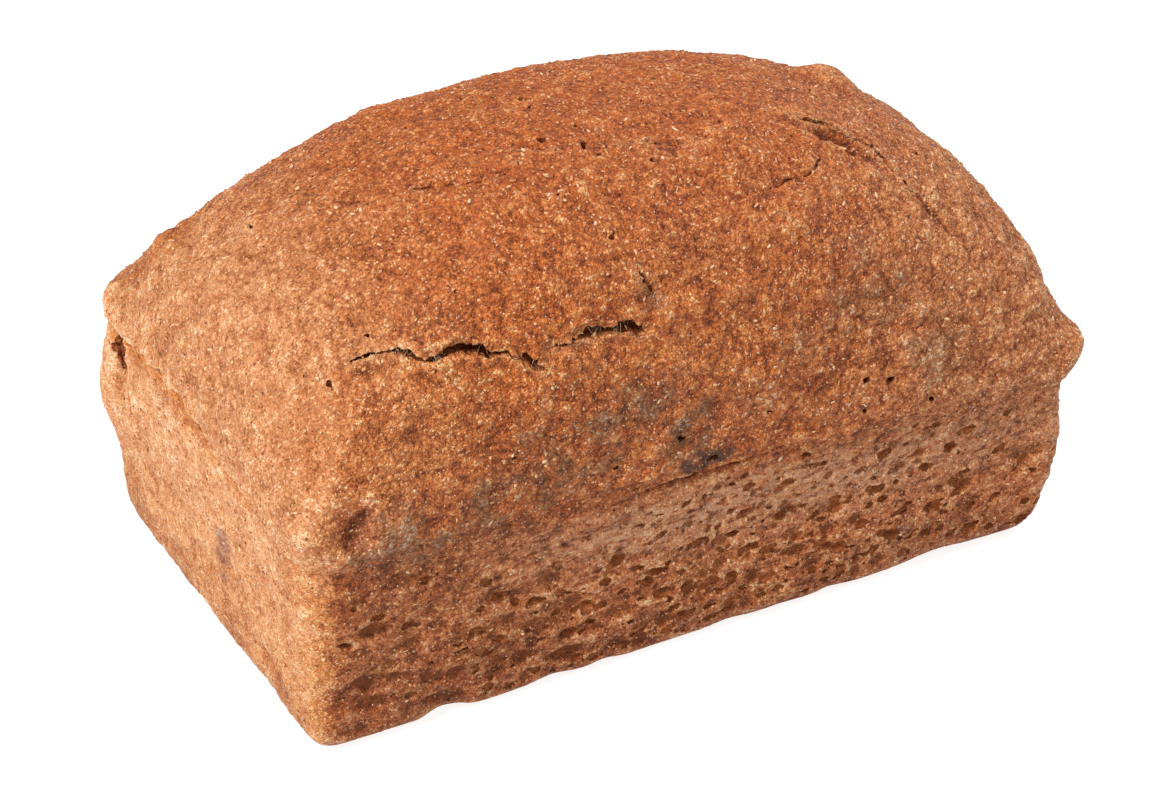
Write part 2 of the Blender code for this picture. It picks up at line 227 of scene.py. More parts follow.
# Coloured patches of the crust, some of them painted shade, in mm: the middle, the radius and the strength
PATCHES = {
    # Partly the crust's dusky colour, partly painted shade on the near shoulder and under its overhang
    "mauve": (
        ((-71.0, -47.4, 43.0), 7.0, 0.75), ((-62.0, -47.5, 42.0), 8.0, 0.85),
        ((-50.0, -47.4, 44.5), 8.0, 0.85), ((-38.0, -47.2, 47.5), 9.0, 0.90),
        ((-26.0, -46.7, 56.0), 8.5, 0.85), ((-16.0, -46.8, 56.0), 8.0, 0.95),
        ((-8.0, -46.9, 48.5), 8.0, 1.00), ((-27.0, -47.3, 46.0), 7.0, 0.70),
        ((-44.0, -46.5, 56.0), 8.0, 0.55), ((14.0, -45.7, 62.0), 7.0, 0.50),
        ((24.0, -44.5, 66.0), 7.0, 0.55), ((35.0, -44.5, 64.0), 8.0, 0.65),
        ((29.0, -41.5, 74.0), 6.0, 0.45), ((46.0, -47.3, 52.0), 8.0, 0.45), ((4.0, -47.0, 52.0), 7.0, 0.45),
    ),
    "browned": (
        ((-19.5, -15.3, 97.1), 9.0, 1.00), ((-30.8, -21.2, 94.3), 8.0, 0.90),
        ((-8.1, -10.0, 98.3), 9.0, 0.80), ((-44.4, -20.8, 91.4), 8.0, 0.80),
        ((-40.0, -30.8, 87.3), 7.0, 0.60), ((-6.1, -20.6, 96.6), 8.0, 0.90),
        ((-0.1, -31.7, 90.4), 6.0, 0.70), ((-21.9, -42.1, 70.8), 6.0, 0.50),
        ((20.0, -12.0, 96.0), 9.0, 0.60), ((-56.0, -33.0, 79.0), 6.0, 0.55),
        ((-76.0, -46.0, 48.5), 5.0, 0.80),
    ),
    "russet": (
        ((-72.0, -45.0, 10.0), 9.0, 0.80), ((-61.8, -45.0, 7.0), 10.0, 0.90),
        ((-51.6, -45.1, 9.0), 11.0, 0.90), ((-66.0, -45.1, 22.0), 7.0, 0.45),
        ((-38.0, -45.1, 10.0), 10.0, 0.75), ((-48.0, -45.2, 22.0), 8.0, 0.50),
        ((-22.0, -45.0, 4.0), 9.0, 0.80), ((4.0, -45.0, 3.0), 10.0, 0.80), ((30.0, -45.0, 4.0), 10.0, 0.80),
        ((60.0, -45.0, 5.0), 11.0, 0.80), ((46.0, -45.0, 5.0), 10.0, 0.80),
        ((-60.0, -45.6, 32.0), 10.0, 0.45), ((-73.0, -45.5, 33.0), 8.0, 0.60),
        ((-82.5, -30.8, 5.5), 6.0, 0.90), ((-82.0, -10.0, 4.0), 8.0, 0.80), ((-82.0, 12.0, 4.0), 9.0, 0.90),
        ((-81.0, 32.0, 8.0), 10.0, 0.80), ((-82.5, -38.5, 4.0), 4.0, 0.60),
        ((84.0, -40.0, 20.0), 9.0, 0.75), ((84.0, -42.0, 36.0), 7.0, 0.60),
        # This patch also paints the shade of the near corner under the shoulder
        ((-67.0, -46.6, 43.0), 8.0, 0.45),
    ),
    "grey": (
        ((-82.8, -8.2, 24.6), 3.8, 1.00), ((-82.7, -6.6, 20.8), 2.6, 1.00),
        ((-82.7, -7.3, 16.5), 1.9, 0.90), ((-41.2, -45.7, 38.7), 1.6, 0.90),
        ((-63.5, -43.4, 61.6), 2.0, 0.80), ((-4.9, -45.2, 6.3), 3.2, 0.80),
        ((42.7, -46.0, 10.8), 3.4, 0.80), ((-14.8, -41.4, 75.0), 3.0, 0.65),
        ((16.2, -46.0, 23.2), 2.4, 0.60), ((1.5, -46.0, 12.0), 2.8, 0.55),
    ),
    # Near-black spots on the near side, most of them over holes and creases
    "soot": (
        ((-8.0, -47.2, 40.6), 3.0, 0.95), ((-4.9, -47.2, 41.2), 3.5, 1.00),
        ((-1.6, -47.2, 42.0), 3.1, 0.95), ((-24.0, -46.9, 50.5), 1.3, 0.80),
        ((-9.8, -46.5, 47.6), 1.6, 0.40), ((30.3, -46.9, 43.5), 1.4, 0.70),
        ((-68.0, -46.9, 50.6), 1.5, 0.45),
    ),
    "amber": (
        ((-77.0, 36.5, 60.0), 7.0, 1.00), ((-76.4, 33.0, 64.5), 7.0, 1.00),
        ((-75.0, 31.0, 68.0), 6.0, 0.90), ((-82.7, -2.1, 14.1), 3.2, 0.80),
        ((-80.2, -44.0, 20.0), 6.5, 0.80), ((-80.5, -43.0, 8.0), 6.0, 0.85),
        ((-80.0, -44.5, 32.0), 7.0, 0.80), ((-83.5, -40.0, 36.0), 8.0, 0.60),
        ((-75.0, -36.0, 60.0), 11.0, 0.50), ((-68.0, -36.0, 66.0), 9.0, 0.35),
        ((-82.0, -32.0, 12.0), 8.0, 0.45), ((-82.0, -14.0, 9.0), 7.0, 0.40),
        ((-82.0, 4.0, 10.0), 7.0, 0.40),
    ),
}

# Shallow furrows and creases, in mm: the points, half the width and the depth
FURROWS = (
    (((46.0, -34.0, 79.6), (49.0, -36.5, 75.9), (53.8, -40.1, 69.6)), 1.0, 0.5),
    (((-35.8, -43.9, 66.7), (-35.8, -44.6, 63.7), (-34.1, -45.0, 61.9)), 1.0, 0.7),
    (((-16.6, -39.7, 79.3), (-15.0, -41.0, 76.6), (-14.2, -41.8, 74.5)), 1.4, 0.7),
    (((-49.0, -13.4, 91.4), (-40.5, -16.8, 93.4), (-31.0, -20.4, 94.8)), 1.7, 0.6),
    (((-32.0, -12.6, 96.1), (-22.7, -18.4, 96.4)), 1.3, 0.4),
    (((-78.4, -45.0, 42.4), (-75.0, -45.6, 47.0), (-70.9, -45.7, 51.5)), 2.2, 0.8),
    (((-24.7, -45.8, 36.4), (-12.5, -46.0, 37.5), (3.2, -46.2, 38.0), (16.4, -47.3, 39.6)), 0.8, 0.6),
    (((-20.7, -29.7, 91.5), (-12.3, -31.6, 90.3)), 0.7, 0.45),
    (((-11.1, -30.6, 91.1), (-6.4, -27.2, 93.6)), 0.6, 0.4),
    (((-57.9, -4.0, 86.5), (-54.1, -8.7, 88.5)), 0.6, 0.4),
    (((-43.8, -6.0, 92.9), (-39.8, -8.5, 94.2)), 0.6, 0.4),
    (((-7.2, -24.0, 95.2), (4.2, -26.2, 93.8)), 0.45, 0.35),
    (((-8.6, -3.4, 98.0), (3.5, -2.8, 97.7)), 0.45, 0.35),
    (((-84.5, 31.0, 38.5), (-84.5, 29.9, 35.0), (-84.1, 30.4, 28.0)), 0.8, 0.7),
)

# Single holes, in mm: the place and the radius
HOLES = (
    ((-19.3, -1.6, 97.4), 1.0), ((-23.8, -16.5, 96.8), 0.9), ((-17.1, -20.7, 96.2), 0.9),
    ((-15.8, -23.0, 95.4), 0.7), ((-7.0, -27.0, 93.9), 0.6), ((1.3, -2.3, 97.8), 0.5),
    ((-20.3, -36.0, 86.0), 0.7), ((-55.6, 18.8, 84.0), 0.6), ((-68.9, 8.2, 78.4), 0.6),
    ((-50.0, -34.3, 81.7), 0.4), ((-73.4, -9.7, 75.3), 0.4), ((-73.5, -32.1, 68.1), 0.8),
    ((-65.7, -31.2, 75.3), 0.6), ((-3.3, -47.3, 41.5), 1.3), ((35.2, -47.3, 47.7), 1.1),
    ((30.3, -46.9, 49.0), 0.9), ((30.4, -47.2, 42.4), 0.8), ((45.5, -47.6, 41.4), 0.8),
    ((8.3, -47.5, 48.6), 0.6), ((-9.8, -46.5, 47.1), 0.9), ((-45.0, -47.2, 53.3), 0.6),
    ((-23.6, -46.9, 45.2), 0.7), ((-85.0, 37.0, 43.0), 1.2),
)

# The larger pits of the porous long side, in mm: (x, z), half length and half height
SIDE_PITS = (
    ((7.5, 25.8), 2.4, 1.3), ((16.2, 23.2), 2.0, 1.2), ((-2.2, 21.4), 3.0, 1.5), ((9.0, 17.3), 2.7, 1.3),
    ((13.0, 16.0), 1.8, 1.0), ((14.4, 29.1), 1.6, 1.0), ((7.7, 31.9), 1.5, 1.0), ((37.8, 22.4), 2.2, 1.3),
    ((38.5, 30.8), 1.5, 1.0), ((58.3, 30.6), 1.7, 1.0), ((-74.0, 30.4), 0.9, 0.8),
    ((-73.2, 26.2), 0.7, 0.6), ((-63.2, 23.0), 1.6, 1.0), ((-60.0, 32.5), 1.3, 0.9),
    ((-49.5, 17.8), 1.6, 1.0), ((-45.0, 23.7), 1.8, 1.1), ((-44.1, 14.2), 1.5, 1.0),
    ((-37.7, 20.5), 2.0, 1.2), ((-32.3, 20.5), 1.6, 1.1), ((-27.0, 16.4), 1.8, 1.1),
    ((-20.2, 24.1), 2.1, 1.3), ((-12.1, 18.5), 2.3, 1.2), ((-9.3, 13.1), 2.6, 1.3),
    ((19.5, 16.5), 2.2, 1.2), ((42.7, 10.8), 2.6, 1.4), ((-4.9, 6.3), 2.4, 1.3), ((58.2, 16.4), 2.2, 1.2),
    ((1.5, 12.0), 2.8, 1.2), ((28.0, 21.5), 1.8, 1.1), ((27.0, 12.5), 2.4, 1.2), ((49.0, 24.0), 2.0, 1.2),
    ((52.0, 14.5), 2.4, 1.3), ((67.0, 23.0), 1.9, 1.1), ((33.0, 28.0), 1.4, 0.9), ((-30.0, 10.5), 2.4, 1.2),
    ((14.0, 9.0), 2.2, 1.1),
)

# Rows of small pits along the walls, and wide shallow dents of the walls
PIT_ROWS = 17
PIT_ROW_LOWEST = 3.0
PIT_ROW_STEP = 2.0
PIT_ROW_LENGTH = 160.0
PITS_A_ROW = 60
DENSEST_X = 18.0
DENSE_REACH = 40.0
SPARSE_BEFORE_X = -58.0
SPARSE_SHARE = 0.45
SIDE_PIT_SHIFT_X = -1.1
HIDDEN_SIDE_PITS = 430
LEFT_END_PITS = 45
DOME_HOLES = 60
WALL_DENTS = 90
LOWER_LEFT_DENTS = 46

WHITE = (1.0, 1.0, 1.0, 1.0)

# The floor glows a little, so that it shows as white as the photograph's ground
FLOOR_SIZE = 6.0
FLOOR_DROP = 0.2 * MM
FLOOR_GREY = (0.25, 0.25, 0.25, 1.0)
FLOOR_GLOW = 0.85
WORLD_STRENGTH = 0.45
# Each light's name, place, width, power and colour, in metres and watts
LIGHTS = (
    ("key", (-1.25, -0.25, 1.10), 0.40, 28.5, (1.0, 0.985, 0.96)),
    ("fill", (0.30, -0.90, 1.30), 0.50, 4.5, (1.0, 1.0, 1.0)),
    ("back", (1.10, 0.20, 1.10), 0.60, 13.5, (1.0, 1.0, 1.0)),
)


def only(obj):
    """Leaves this object alone selected and active."""
    bpy.ops.object.select_all(action="DESELECT")
    obj.select_set(True)
    bpy.context.view_layer.objects.active = obj
    return obj


def finish_with(obj, kind, **settings):
    """Adds a modifier with these settings and applies it."""
    only(obj)
    bpy.ops.object.modifier_add(type=kind)
    modifier = obj.modifiers[-1]
    for name, value in settings.items():
        setattr(modifier, name, value)
    bpy.ops.object.modifier_apply(modifier=modifier.name)
    return obj


def places_of(mesh):
    places = np.zeros(len(mesh.vertices) * 3, np.float32)
    mesh.vertices.foreach_get("co", places)
    return places.reshape(-1, 3).astype(float)


def normals_of(mesh):
    normals = np.zeros(len(mesh.vertices) * 3, np.float32)
    mesh.vertex_normals.foreach_get("vector", normals)
    return normals.reshape(-1, 3).astype(float)


def put_places(mesh, places):
    mesh.vertices.foreach_set("co", places.astype(np.float32).ravel())
    mesh.update()


def put_mask(mesh, name, values):
    """Stores one number for each point, which the materials read by this name."""
    attribute = mesh.attributes.new(name, "FLOAT", "POINT")
    attribute.data.foreach_set("value", values.astype(np.float32))


def smooth_step(values, low, high):
    share = np.clip((values - low) / (high - low), 0.0, 1.0)
    return share * share * (3.0 - 2.0 * share)


def noise_at(places, wavelength, shift=0.0):
    """Soft noise from -1 to 1 at places in mm."""
    offset = Vector((shift, shift * 0.7, -shift))
    return np.array([noise.noise(Vector(place) / wavelength + offset) for place in places])


def rim_height_at(places):
    """The height of the tin's rim in mm, mixed between the corners."""
    u = np.clip(places[:, 0] / TIN_LENGTH + 0.5, 0.0, 1.0)
    v = np.clip(places[:, 1] / TIN_WIDTH + 0.5, 0.0, 1.0)
    near = RIM_HEIGHT[(-1, -1)] * (1.0 - u) + RIM_HEIGHT[(1, -1)] * u
    far = RIM_HEIGHT[(-1, 1)] * (1.0 - u) + RIM_HEIGHT[(1, 1)] * u
    return near * (1.0 - v) + far * v


def along_route(places, points):
    """How far each place is from a route, and how far along it, from 0 to 1."""
    points = np.array(points, float)
    steps = np.diff(points, axis=0)
    runs = np.linalg.norm(steps, axis=1)
    starts = np.concatenate([[0.0], np.cumsum(runs)])
    nearest = np.full(len(places), np.inf)
    travelled = np.zeros(len(places))
    for start, step, run, before in zip(points[:-1], steps, runs, starts):
        share = np.clip((places - start) @ step / run ** 2, 0.0, 1.0)
        away = np.linalg.norm(places - start - share[:, None] * step, axis=1)
        closer = away < nearest
        nearest = np.where(closer, away, nearest)
        travelled = np.where(closer, (before + share * run) / starts[-1], travelled)
    return nearest, travelled


def furrow(places, points, half_width, depth):
    """A furrow's depth in mm: deepest along its route, and closed at both ends."""
    nearest, travelled = along_route(places, points)
    open_here = np.sqrt(np.sin(np.pi * np.clip(travelled, 0.03, 0.97)))
    return np.clip(1.0 - (nearest / (half_width * open_here)) ** 2, 0.0, None) * open_here * depth


def plain_crust():
    """A smooth closed copy of the solid, fine enough to model the crust in."""
    node = only(frame["nodes"]["loaf"])
    bpy.ops.object.duplicate()
    crust = bpy.context.active_object
    crust.name = "loaf_crust"
    crust.parent = None
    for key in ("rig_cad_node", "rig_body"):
        if key in crust:
            del crust[key]
    bpy.ops.object.mode_set(mode="EDIT")
    bpy.ops.mesh.select_all(action="SELECT")
    bpy.ops.mesh.remove_doubles(threshold=0.00001)
    bpy.ops.object.mode_set(mode="OBJECT")
    finish_with(crust, "SUBSURF", levels=2, render_levels=2)
    finish_with(crust, "REMESH", mode="VOXEL", voxel_size=CRUST_CELL)
    fill_grooves(crust)
    finish_with(crust, "SMOOTH", factor=0.5, iterations=14)
    return crust


def fill_grooves(crust):
    """Fills the wide soft grooves round the tears, straight out from the heart of the loaf."""
    places = places_of(crust.data) / MM
    level = np.zeros(len(places))
    outward = places - np.stack([places[:, 0] * HEART_SHARE, level, level + HEART_HEIGHT], axis=1)
    outward /= np.linalg.norm(outward, axis=1)[:, None]
    rise = np.zeros(len(places))
    for points, half_gap, depth in SOFT_GROOVES:
        shifted = [(x + GROOVE_SHIFT_X, y, z) for x, y, z in points]
        rise += furrow(places, shifted, half_gap * GROOVE_WIDER, depth * GROOVE_FILL)
    put_places(crust.data, (places + outward * rise[:, None]) * MM)


def surface_of(obj):
    """The object's surface as it is now, for finding the nearest place on it."""
    return bvhtree.BVHTree.FromObject(obj, bpy.context.evaluated_depsgraph_get())


def cobbles_at(places, size):
    """Rounded cobbles with creases between them, from 0 to 1, at places in mm."""
    rise = np.zeros(len(places))
    for index, place in enumerate(places):
        nearest, second = noise.voronoi(Vector(place) / size)[0][:2]
        rise[index] = min(1.0, (second - nearest) * 1.7)
    return rise


def wall_dents(places, draw):
    """Wide shallow dents along the walls, in mm."""
    fall = np.zeros(len(places))
    for index in range(WALL_DENTS + LOWER_LEFT_DENTS):
        side = draw.choice(("near", "near", "near", "far", "left", "right"))
        along, height = draw.uniform(-76.0, 76.0), draw.uniform(3.0, 27.0)
        half_length, half_height = draw.uniform(1.8, 4.6), draw.uniform(1.2, 2.2)
        depth = draw.uniform(0.25, 0.75)
        if index >= WALL_DENTS:
            side, along, depth = "near", draw.uniform(-76.0, -12.0), draw.uniform(0.5, 1.0)
        if side in ("near", "far"):
            facing = places[:, 1] < -38.0 if side == "near" else places[:, 1] > 38.0
            reach = ((places[:, 0] - along) / half_length) ** 2
        else:
            facing = places[:, 0] < -76.0 if side == "left" else places[:, 0] > 76.0
            reach = ((places[:, 1] - along * 0.5) / half_length) ** 2
        reach += ((places[:, 2] - height) / half_height) ** 2
        fall += np.where(facing, np.exp(-reach * 1.4) * depth, 0.0)
    return np.minimum(fall, 1.3)


def below_left_crease(places, wander):
    """How far each place lies below the left end's crease in mm, and where that crease is open."""
    crease_y, crease_z = zip(*LEFT_CREASE)
    below = np.interp(places[:, 1], crease_y, crease_z) + wander - places[:, 2]
    along = smooth_step(places[:, 1], -36.0, -10.0) * (1.0 - smooth_step(places[:, 1], 36.0, 42.0))
    return below, along * smooth_step(-places[:, 0], 72.0, 79.0)


def shape_crust(crust):
    """Adds the furrows, steps, dents, lumps and cobbles of the crust."""
    mesh = crust.data
    places = places_of(mesh) / MM
    normals = normals_of(mesh)
    dome = smooth_step(places[:, 2] - rim_height_at(places), -1.5, 2.5)
    under = smooth_step(-normals[:, 2], 0.6, 0.95)
    rise = np.zeros(len(places))
    for points, half_width, depth in FURROWS:
        rise -= furrow(places, points, half_width, depth)
    for points, _, _ in TEARS.values():
        rise -= furrow(places, [point[:3] for point in points], 1.3, 0.30)
    rise -= wall_dents(places, random.Random(8)) * (1.0 - dome)
    for middle, radius, height in KNOBS:
        away = np.linalg.norm(places - np.array(middle), axis=1) / radius
        rise += np.clip(1.0 - away ** 2, 0.0, None) ** 2 * height
    below, open_here = below_left_crease(places, noise_at(places, 3.1, 41.0) * 1.3)
    step = smooth_step(below, -0.35, 0.35) * np.exp(-(np.clip(below, 0.0, None) / 4.2) ** 2)
    rise -= step * open_here * LEFT_STEP * (0.8 + noise_at(places, 5.0, 43.0) * 0.7)
    lumps = sum(noise_at(places, size, shift) * height for size, shift, height in LUMPS)
    streaks = noise_at(places * ALONG_THE_LOAF, STREAK_SIZE, 11.0) * STREAK_HEIGHT
    strength = np.clip(0.55 + noise_at(places, 14.0, 31.0) * 0.9, 0.2, 1.0)
    cobbles = (cobbles_at(places, COBBLE_SIZE) - COBBLE_MEAN) * COBBLE_HEIGHT * strength
    front = smooth_step(-places[:, 1], 5.0, 38.0) * smooth_step(places[:, 0], -75.0, -45.0)
    aside, across = noise_at(places, 5.0, 23.0), noise_at(places, 5.0, 27.0)
    warped = places + np.stack([aside, across, aside], axis=1) * SWELL_WARP
    swells = (cobbles_at(warped, SWELL_SIZE) - COBBLE_MEAN) * SWELL_HEIGHT * (0.35 + 0.65 * front)
    grit = noise_at(places, GRIT_SIZE, 17.0) * GRIT_HEIGHT
    rise += (lumps + cobbles + swells + grit) * dome
    rise += (streaks + lumps * 0.45 + grit * 0.9 + cobbles * 0.6) * (1.0 - dome)
    rise -= CRUST_INSET
    rise *= 1.0 - under
    places += normals * rise[:, None]
    put_places(mesh, places * MM)


def as_template(obj):
    """The points and triangles of a small shape, which is then removed."""
    finish_with(obj, "TRIANGULATE")
    points = places_of(obj.data)
    faces = np.array([tuple(face.vertices) for face in obj.data.polygons])
    bpy.data.objects.remove(obj)
    return points, faces


def ball_template():
    """A round cutter of 80 faces, a little uneven."""
    bpy.ops.object.select_all(action="DESELECT")
    bpy.ops.mesh.primitive_ico_sphere_add(subdivisions=2, radius=1.0)
    bpy.ops.object.mode_set(mode="EDIT")
    bpy.ops.mesh.select_all(action="SELECT")
    bpy.ops.transform.vertex_random(offset=0.08, seed=2)
    bpy.ops.object.mode_set(mode="OBJECT")
    return as_template(bpy.context.active_object)


def joined_mesh(name, point_sets, faces):
    """One object of many copies of a shape, each copy given by its own points."""
    count, size = len(point_sets), len(point_sets[0])
    all_points = np.concatenate(point_sets)
    all_faces = np.concatenate([faces + size * index for index in range(count)])
    mesh = bpy.data.meshes.new(name)
    mesh.from_pydata(all_points.tolist(), [], all_faces.tolist())
    mesh.update()
    obj = bpy.data.objects.new(name, mesh)
    bpy.context.scene.collection.objects.link(obj)
    return obj


def on_route(points, share):
    """The values at a share of the way along a route, and the route's length."""
    points = np.array(points, float)
    runs = np.linalg.norm(np.diff(points[:, :3], axis=0), axis=1)
    starts = np.concatenate([[0.0], np.cumsum(runs)])
    where = min(1.0, max(0.0, share)) * starts[-1]
    return [float(np.interp(where, starts, values)) for values in points.T], starts[-1]


def tear_frame(plain, surface, points, share):
    """The place on the crust at a share of a tear, and the ways along it, out of it and up the dome."""
    place, _ = on_route(points, share)
    ahead, behind = on_route(points, share + 0.02)[0], on_route(points, share - 0.02)[0]
    forward = Vector(ahead[:3]) - Vector(behind[:3])
    on_plain, normal, _, _ = plain.find_nearest(Vector(place[:3]) * MM)
    on_crust, _, _, _ = surface.find_nearest(on_plain)
    along = (forward - normal * forward.dot(normal)).normalized()
    uphill = normal.cross(along)
    if uphill.z < 0.0:
        uphill.negate()
    return (on_plain + normal * (on_crust - on_plain).dot(normal)) / MM, along, normal, uphill, place[3]


def tear_balls(plain, surface, draw):
    """Flattened balls along each tear, diving under the crust above it."""
    balls = []
    for points, depth, dive in TEARS.values():
        _, length = on_route(points, 0.0)
        count = int(length / TEAR_BALL_STEP) + 1
        for step in range(count + 1):
            share = step / count
            middle, along, normal, uphill, half_gap = tear_frame(plain, surface, points, share)
            wander = noise.noise(Vector((share * length / 1.2, depth, 0.5)))
            inward = (-normal + uphill * dive).normalized()
            across = along.cross(inward).normalized()
            opening = 1.0 + wander * 0.7 if depth > STITCHED_BELOW else 0.3 + wander * 3.5
            gap = half_gap * min(1.6, max(0.0, opening))
            reach = depth * min(1.0, 0.22 + half_gap)
            middle = middle + inward * reach * 0.40 + uphill * wander * 0.30
            balls.append((middle, along * draw.uniform(0.5, 0.8), across * gap, inward * reach))
    return balls


def pit_balls(surface, draw):
    """Balls for the single holes, the large pits of the long side and the rows of small pits."""
    balls = []

    def sink(place, half_length, half_height, depth, lift):
        on_crust, normal, _, _ = surface.find_nearest(Vector(place) * MM)
        along = normal.cross(Vector((0.0, 0.0, 1.0)))
        if along.length < 0.2:
            along = Vector((1.0, 0.0, 0.0))
        along.normalize()
        along.rotate(Matrix.Rotation(draw.uniform(-0.4, 0.4), 3, normal))
        upright = along.cross(normal).normalized()
        middle = on_crust / MM + normal * depth * lift
        balls.append((middle, along * half_length, upright * half_height, normal * depth))

    for place, radius in HOLES:
        sink(place, radius * draw.uniform(0.9, 1.2), radius * draw.uniform(0.55, 0.8), radius * 1.9, -0.35)
        for _ in range(2):
            beside = Vector(place) + Vector([draw.uniform(-1.0, 1.0) * radius for _ in range(3)])
            sink(beside, radius * 0.5, radius * 0.4, radius * 0.9, -0.1)
    for (x, z), half_length, half_height in SIDE_PITS:
        x += SIDE_PIT_SHIFT_X
        sink((x, NEAR_Y, z), half_length, half_height, half_height * 1.3, 0.10)
        beside = (x + draw.uniform(-1.8, 1.8), NEAR_Y, z + draw.uniform(-0.7, 0.7))
        sink(beside, half_length * 0.7, half_height * 0.6, half_height * 1.1, 0.20)
    for row in range(PIT_ROWS):
        for place in range(PITS_A_ROW):
            x = ((place + draw.uniform(0.0, 1.0)) / PITS_A_ROW - 0.5) * PIT_ROW_LENGTH
            z = PIT_ROW_LOWEST + (row + draw.uniform(-0.5, 0.5)) * PIT_ROW_STEP
            size = 0.45 + 1.55 * draw.uniform(0.0, 1.0) ** 2.2
            densest = math.exp(-((x - DENSEST_X) / DENSE_REACH) ** 2)
            dense = 0.30 + 0.62 * densest - 0.42 * (row / PIT_ROWS) ** 2
            dense *= SPARSE_SHARE if x < SPARSE_BEFORE_X else 1.0
            if draw.uniform(0.0, 1.0) < dense:
                half_height, depth = size * draw.uniform(0.4, 0.75), size * draw.uniform(0.5, 1.05)
                sink((x, NEAR_Y, z), size, half_height, depth, 0.12)
    for _ in range(HIDDEN_SIDE_PITS):
        x, y = draw.choice(((RIGHT_X, None), (None, FAR_Y), (None, FAR_Y)))
        x = draw.uniform(-78.0, 78.0) if x is None else x
        y = draw.uniform(-42.0, 42.0) if y is None else y
        size = 0.45 + 1.25 * draw.uniform(0.0, 1.0) ** 2.3
        sink((x, y, 2.5 + 33.0 * draw.uniform(0.0, 1.0) ** 1.3), size, size * 0.6, size * 0.8, 0.12)
    for _ in range(LEFT_END_PITS):
        size = 0.35 + 0.5 * draw.uniform(0.0, 1.0) ** 2.5
        place = (LEFT_X, draw.uniform(-40.0, 40.0), draw.uniform(3.0, 34.0))
        sink(place, size, size * 0.65, size * 0.8, 0.15)
    for _ in range(DOME_HOLES):
        x, y = draw.uniform(-70.0, 70.0), draw.uniform(-38.0, 38.0)
        size = 0.32 + 0.35 * draw.uniform(0.0, 1.0) ** 2
        sink((x, y, 97.0), size, size * 0.8, size * 1.5, -0.2)
    return balls


def cut_hollows(crust, plain):
    """Cuts the tears, holes and pits out of the crust, and returns the crust's surface before the cuts."""
    surface = surface_of(crust)
    draw = random.Random(41)
    points, faces = ball_template()
    sets = []
    for middle, first, second, third in tear_balls(plain, surface, draw) + pit_balls(surface, draw):
        turn = np.array([first, second, third])
        sets.append((points @ turn + np.array(middle)) * MM)
    cutter = joined_mesh("hollow_cutter", sets, faces)
    finish_with(cutter, "REMESH", mode="VOXEL", voxel_size=CUTTER_CELL)
    ragged = bpy.data.textures.new("ragged", "CLOUDS")
    ragged.noise_scale = RAGGED_SIZE
    ragged.noise_depth = 2
    finish_with(cutter, "DISPLACE", texture=ragged, texture_coords="LOCAL", strength=RAGGED_HEIGHT)
    finish_with(crust, "BOOLEAN", object=cutter, operation="DIFFERENCE", solver="MANIFOLD")
    bpy.data.objects.remove(cutter)
    return surface


def thin_crust(crust):
    """Leaves as many triangles as the two pieces of the crust may have together."""
    crust.data.calc_loop_triangles()
    share = CRUST_TRIANGLES / len(crust.data.loop_triangles)
    finish_with(crust, "DECIMATE", decimate_type="COLLAPSE", ratio=share)


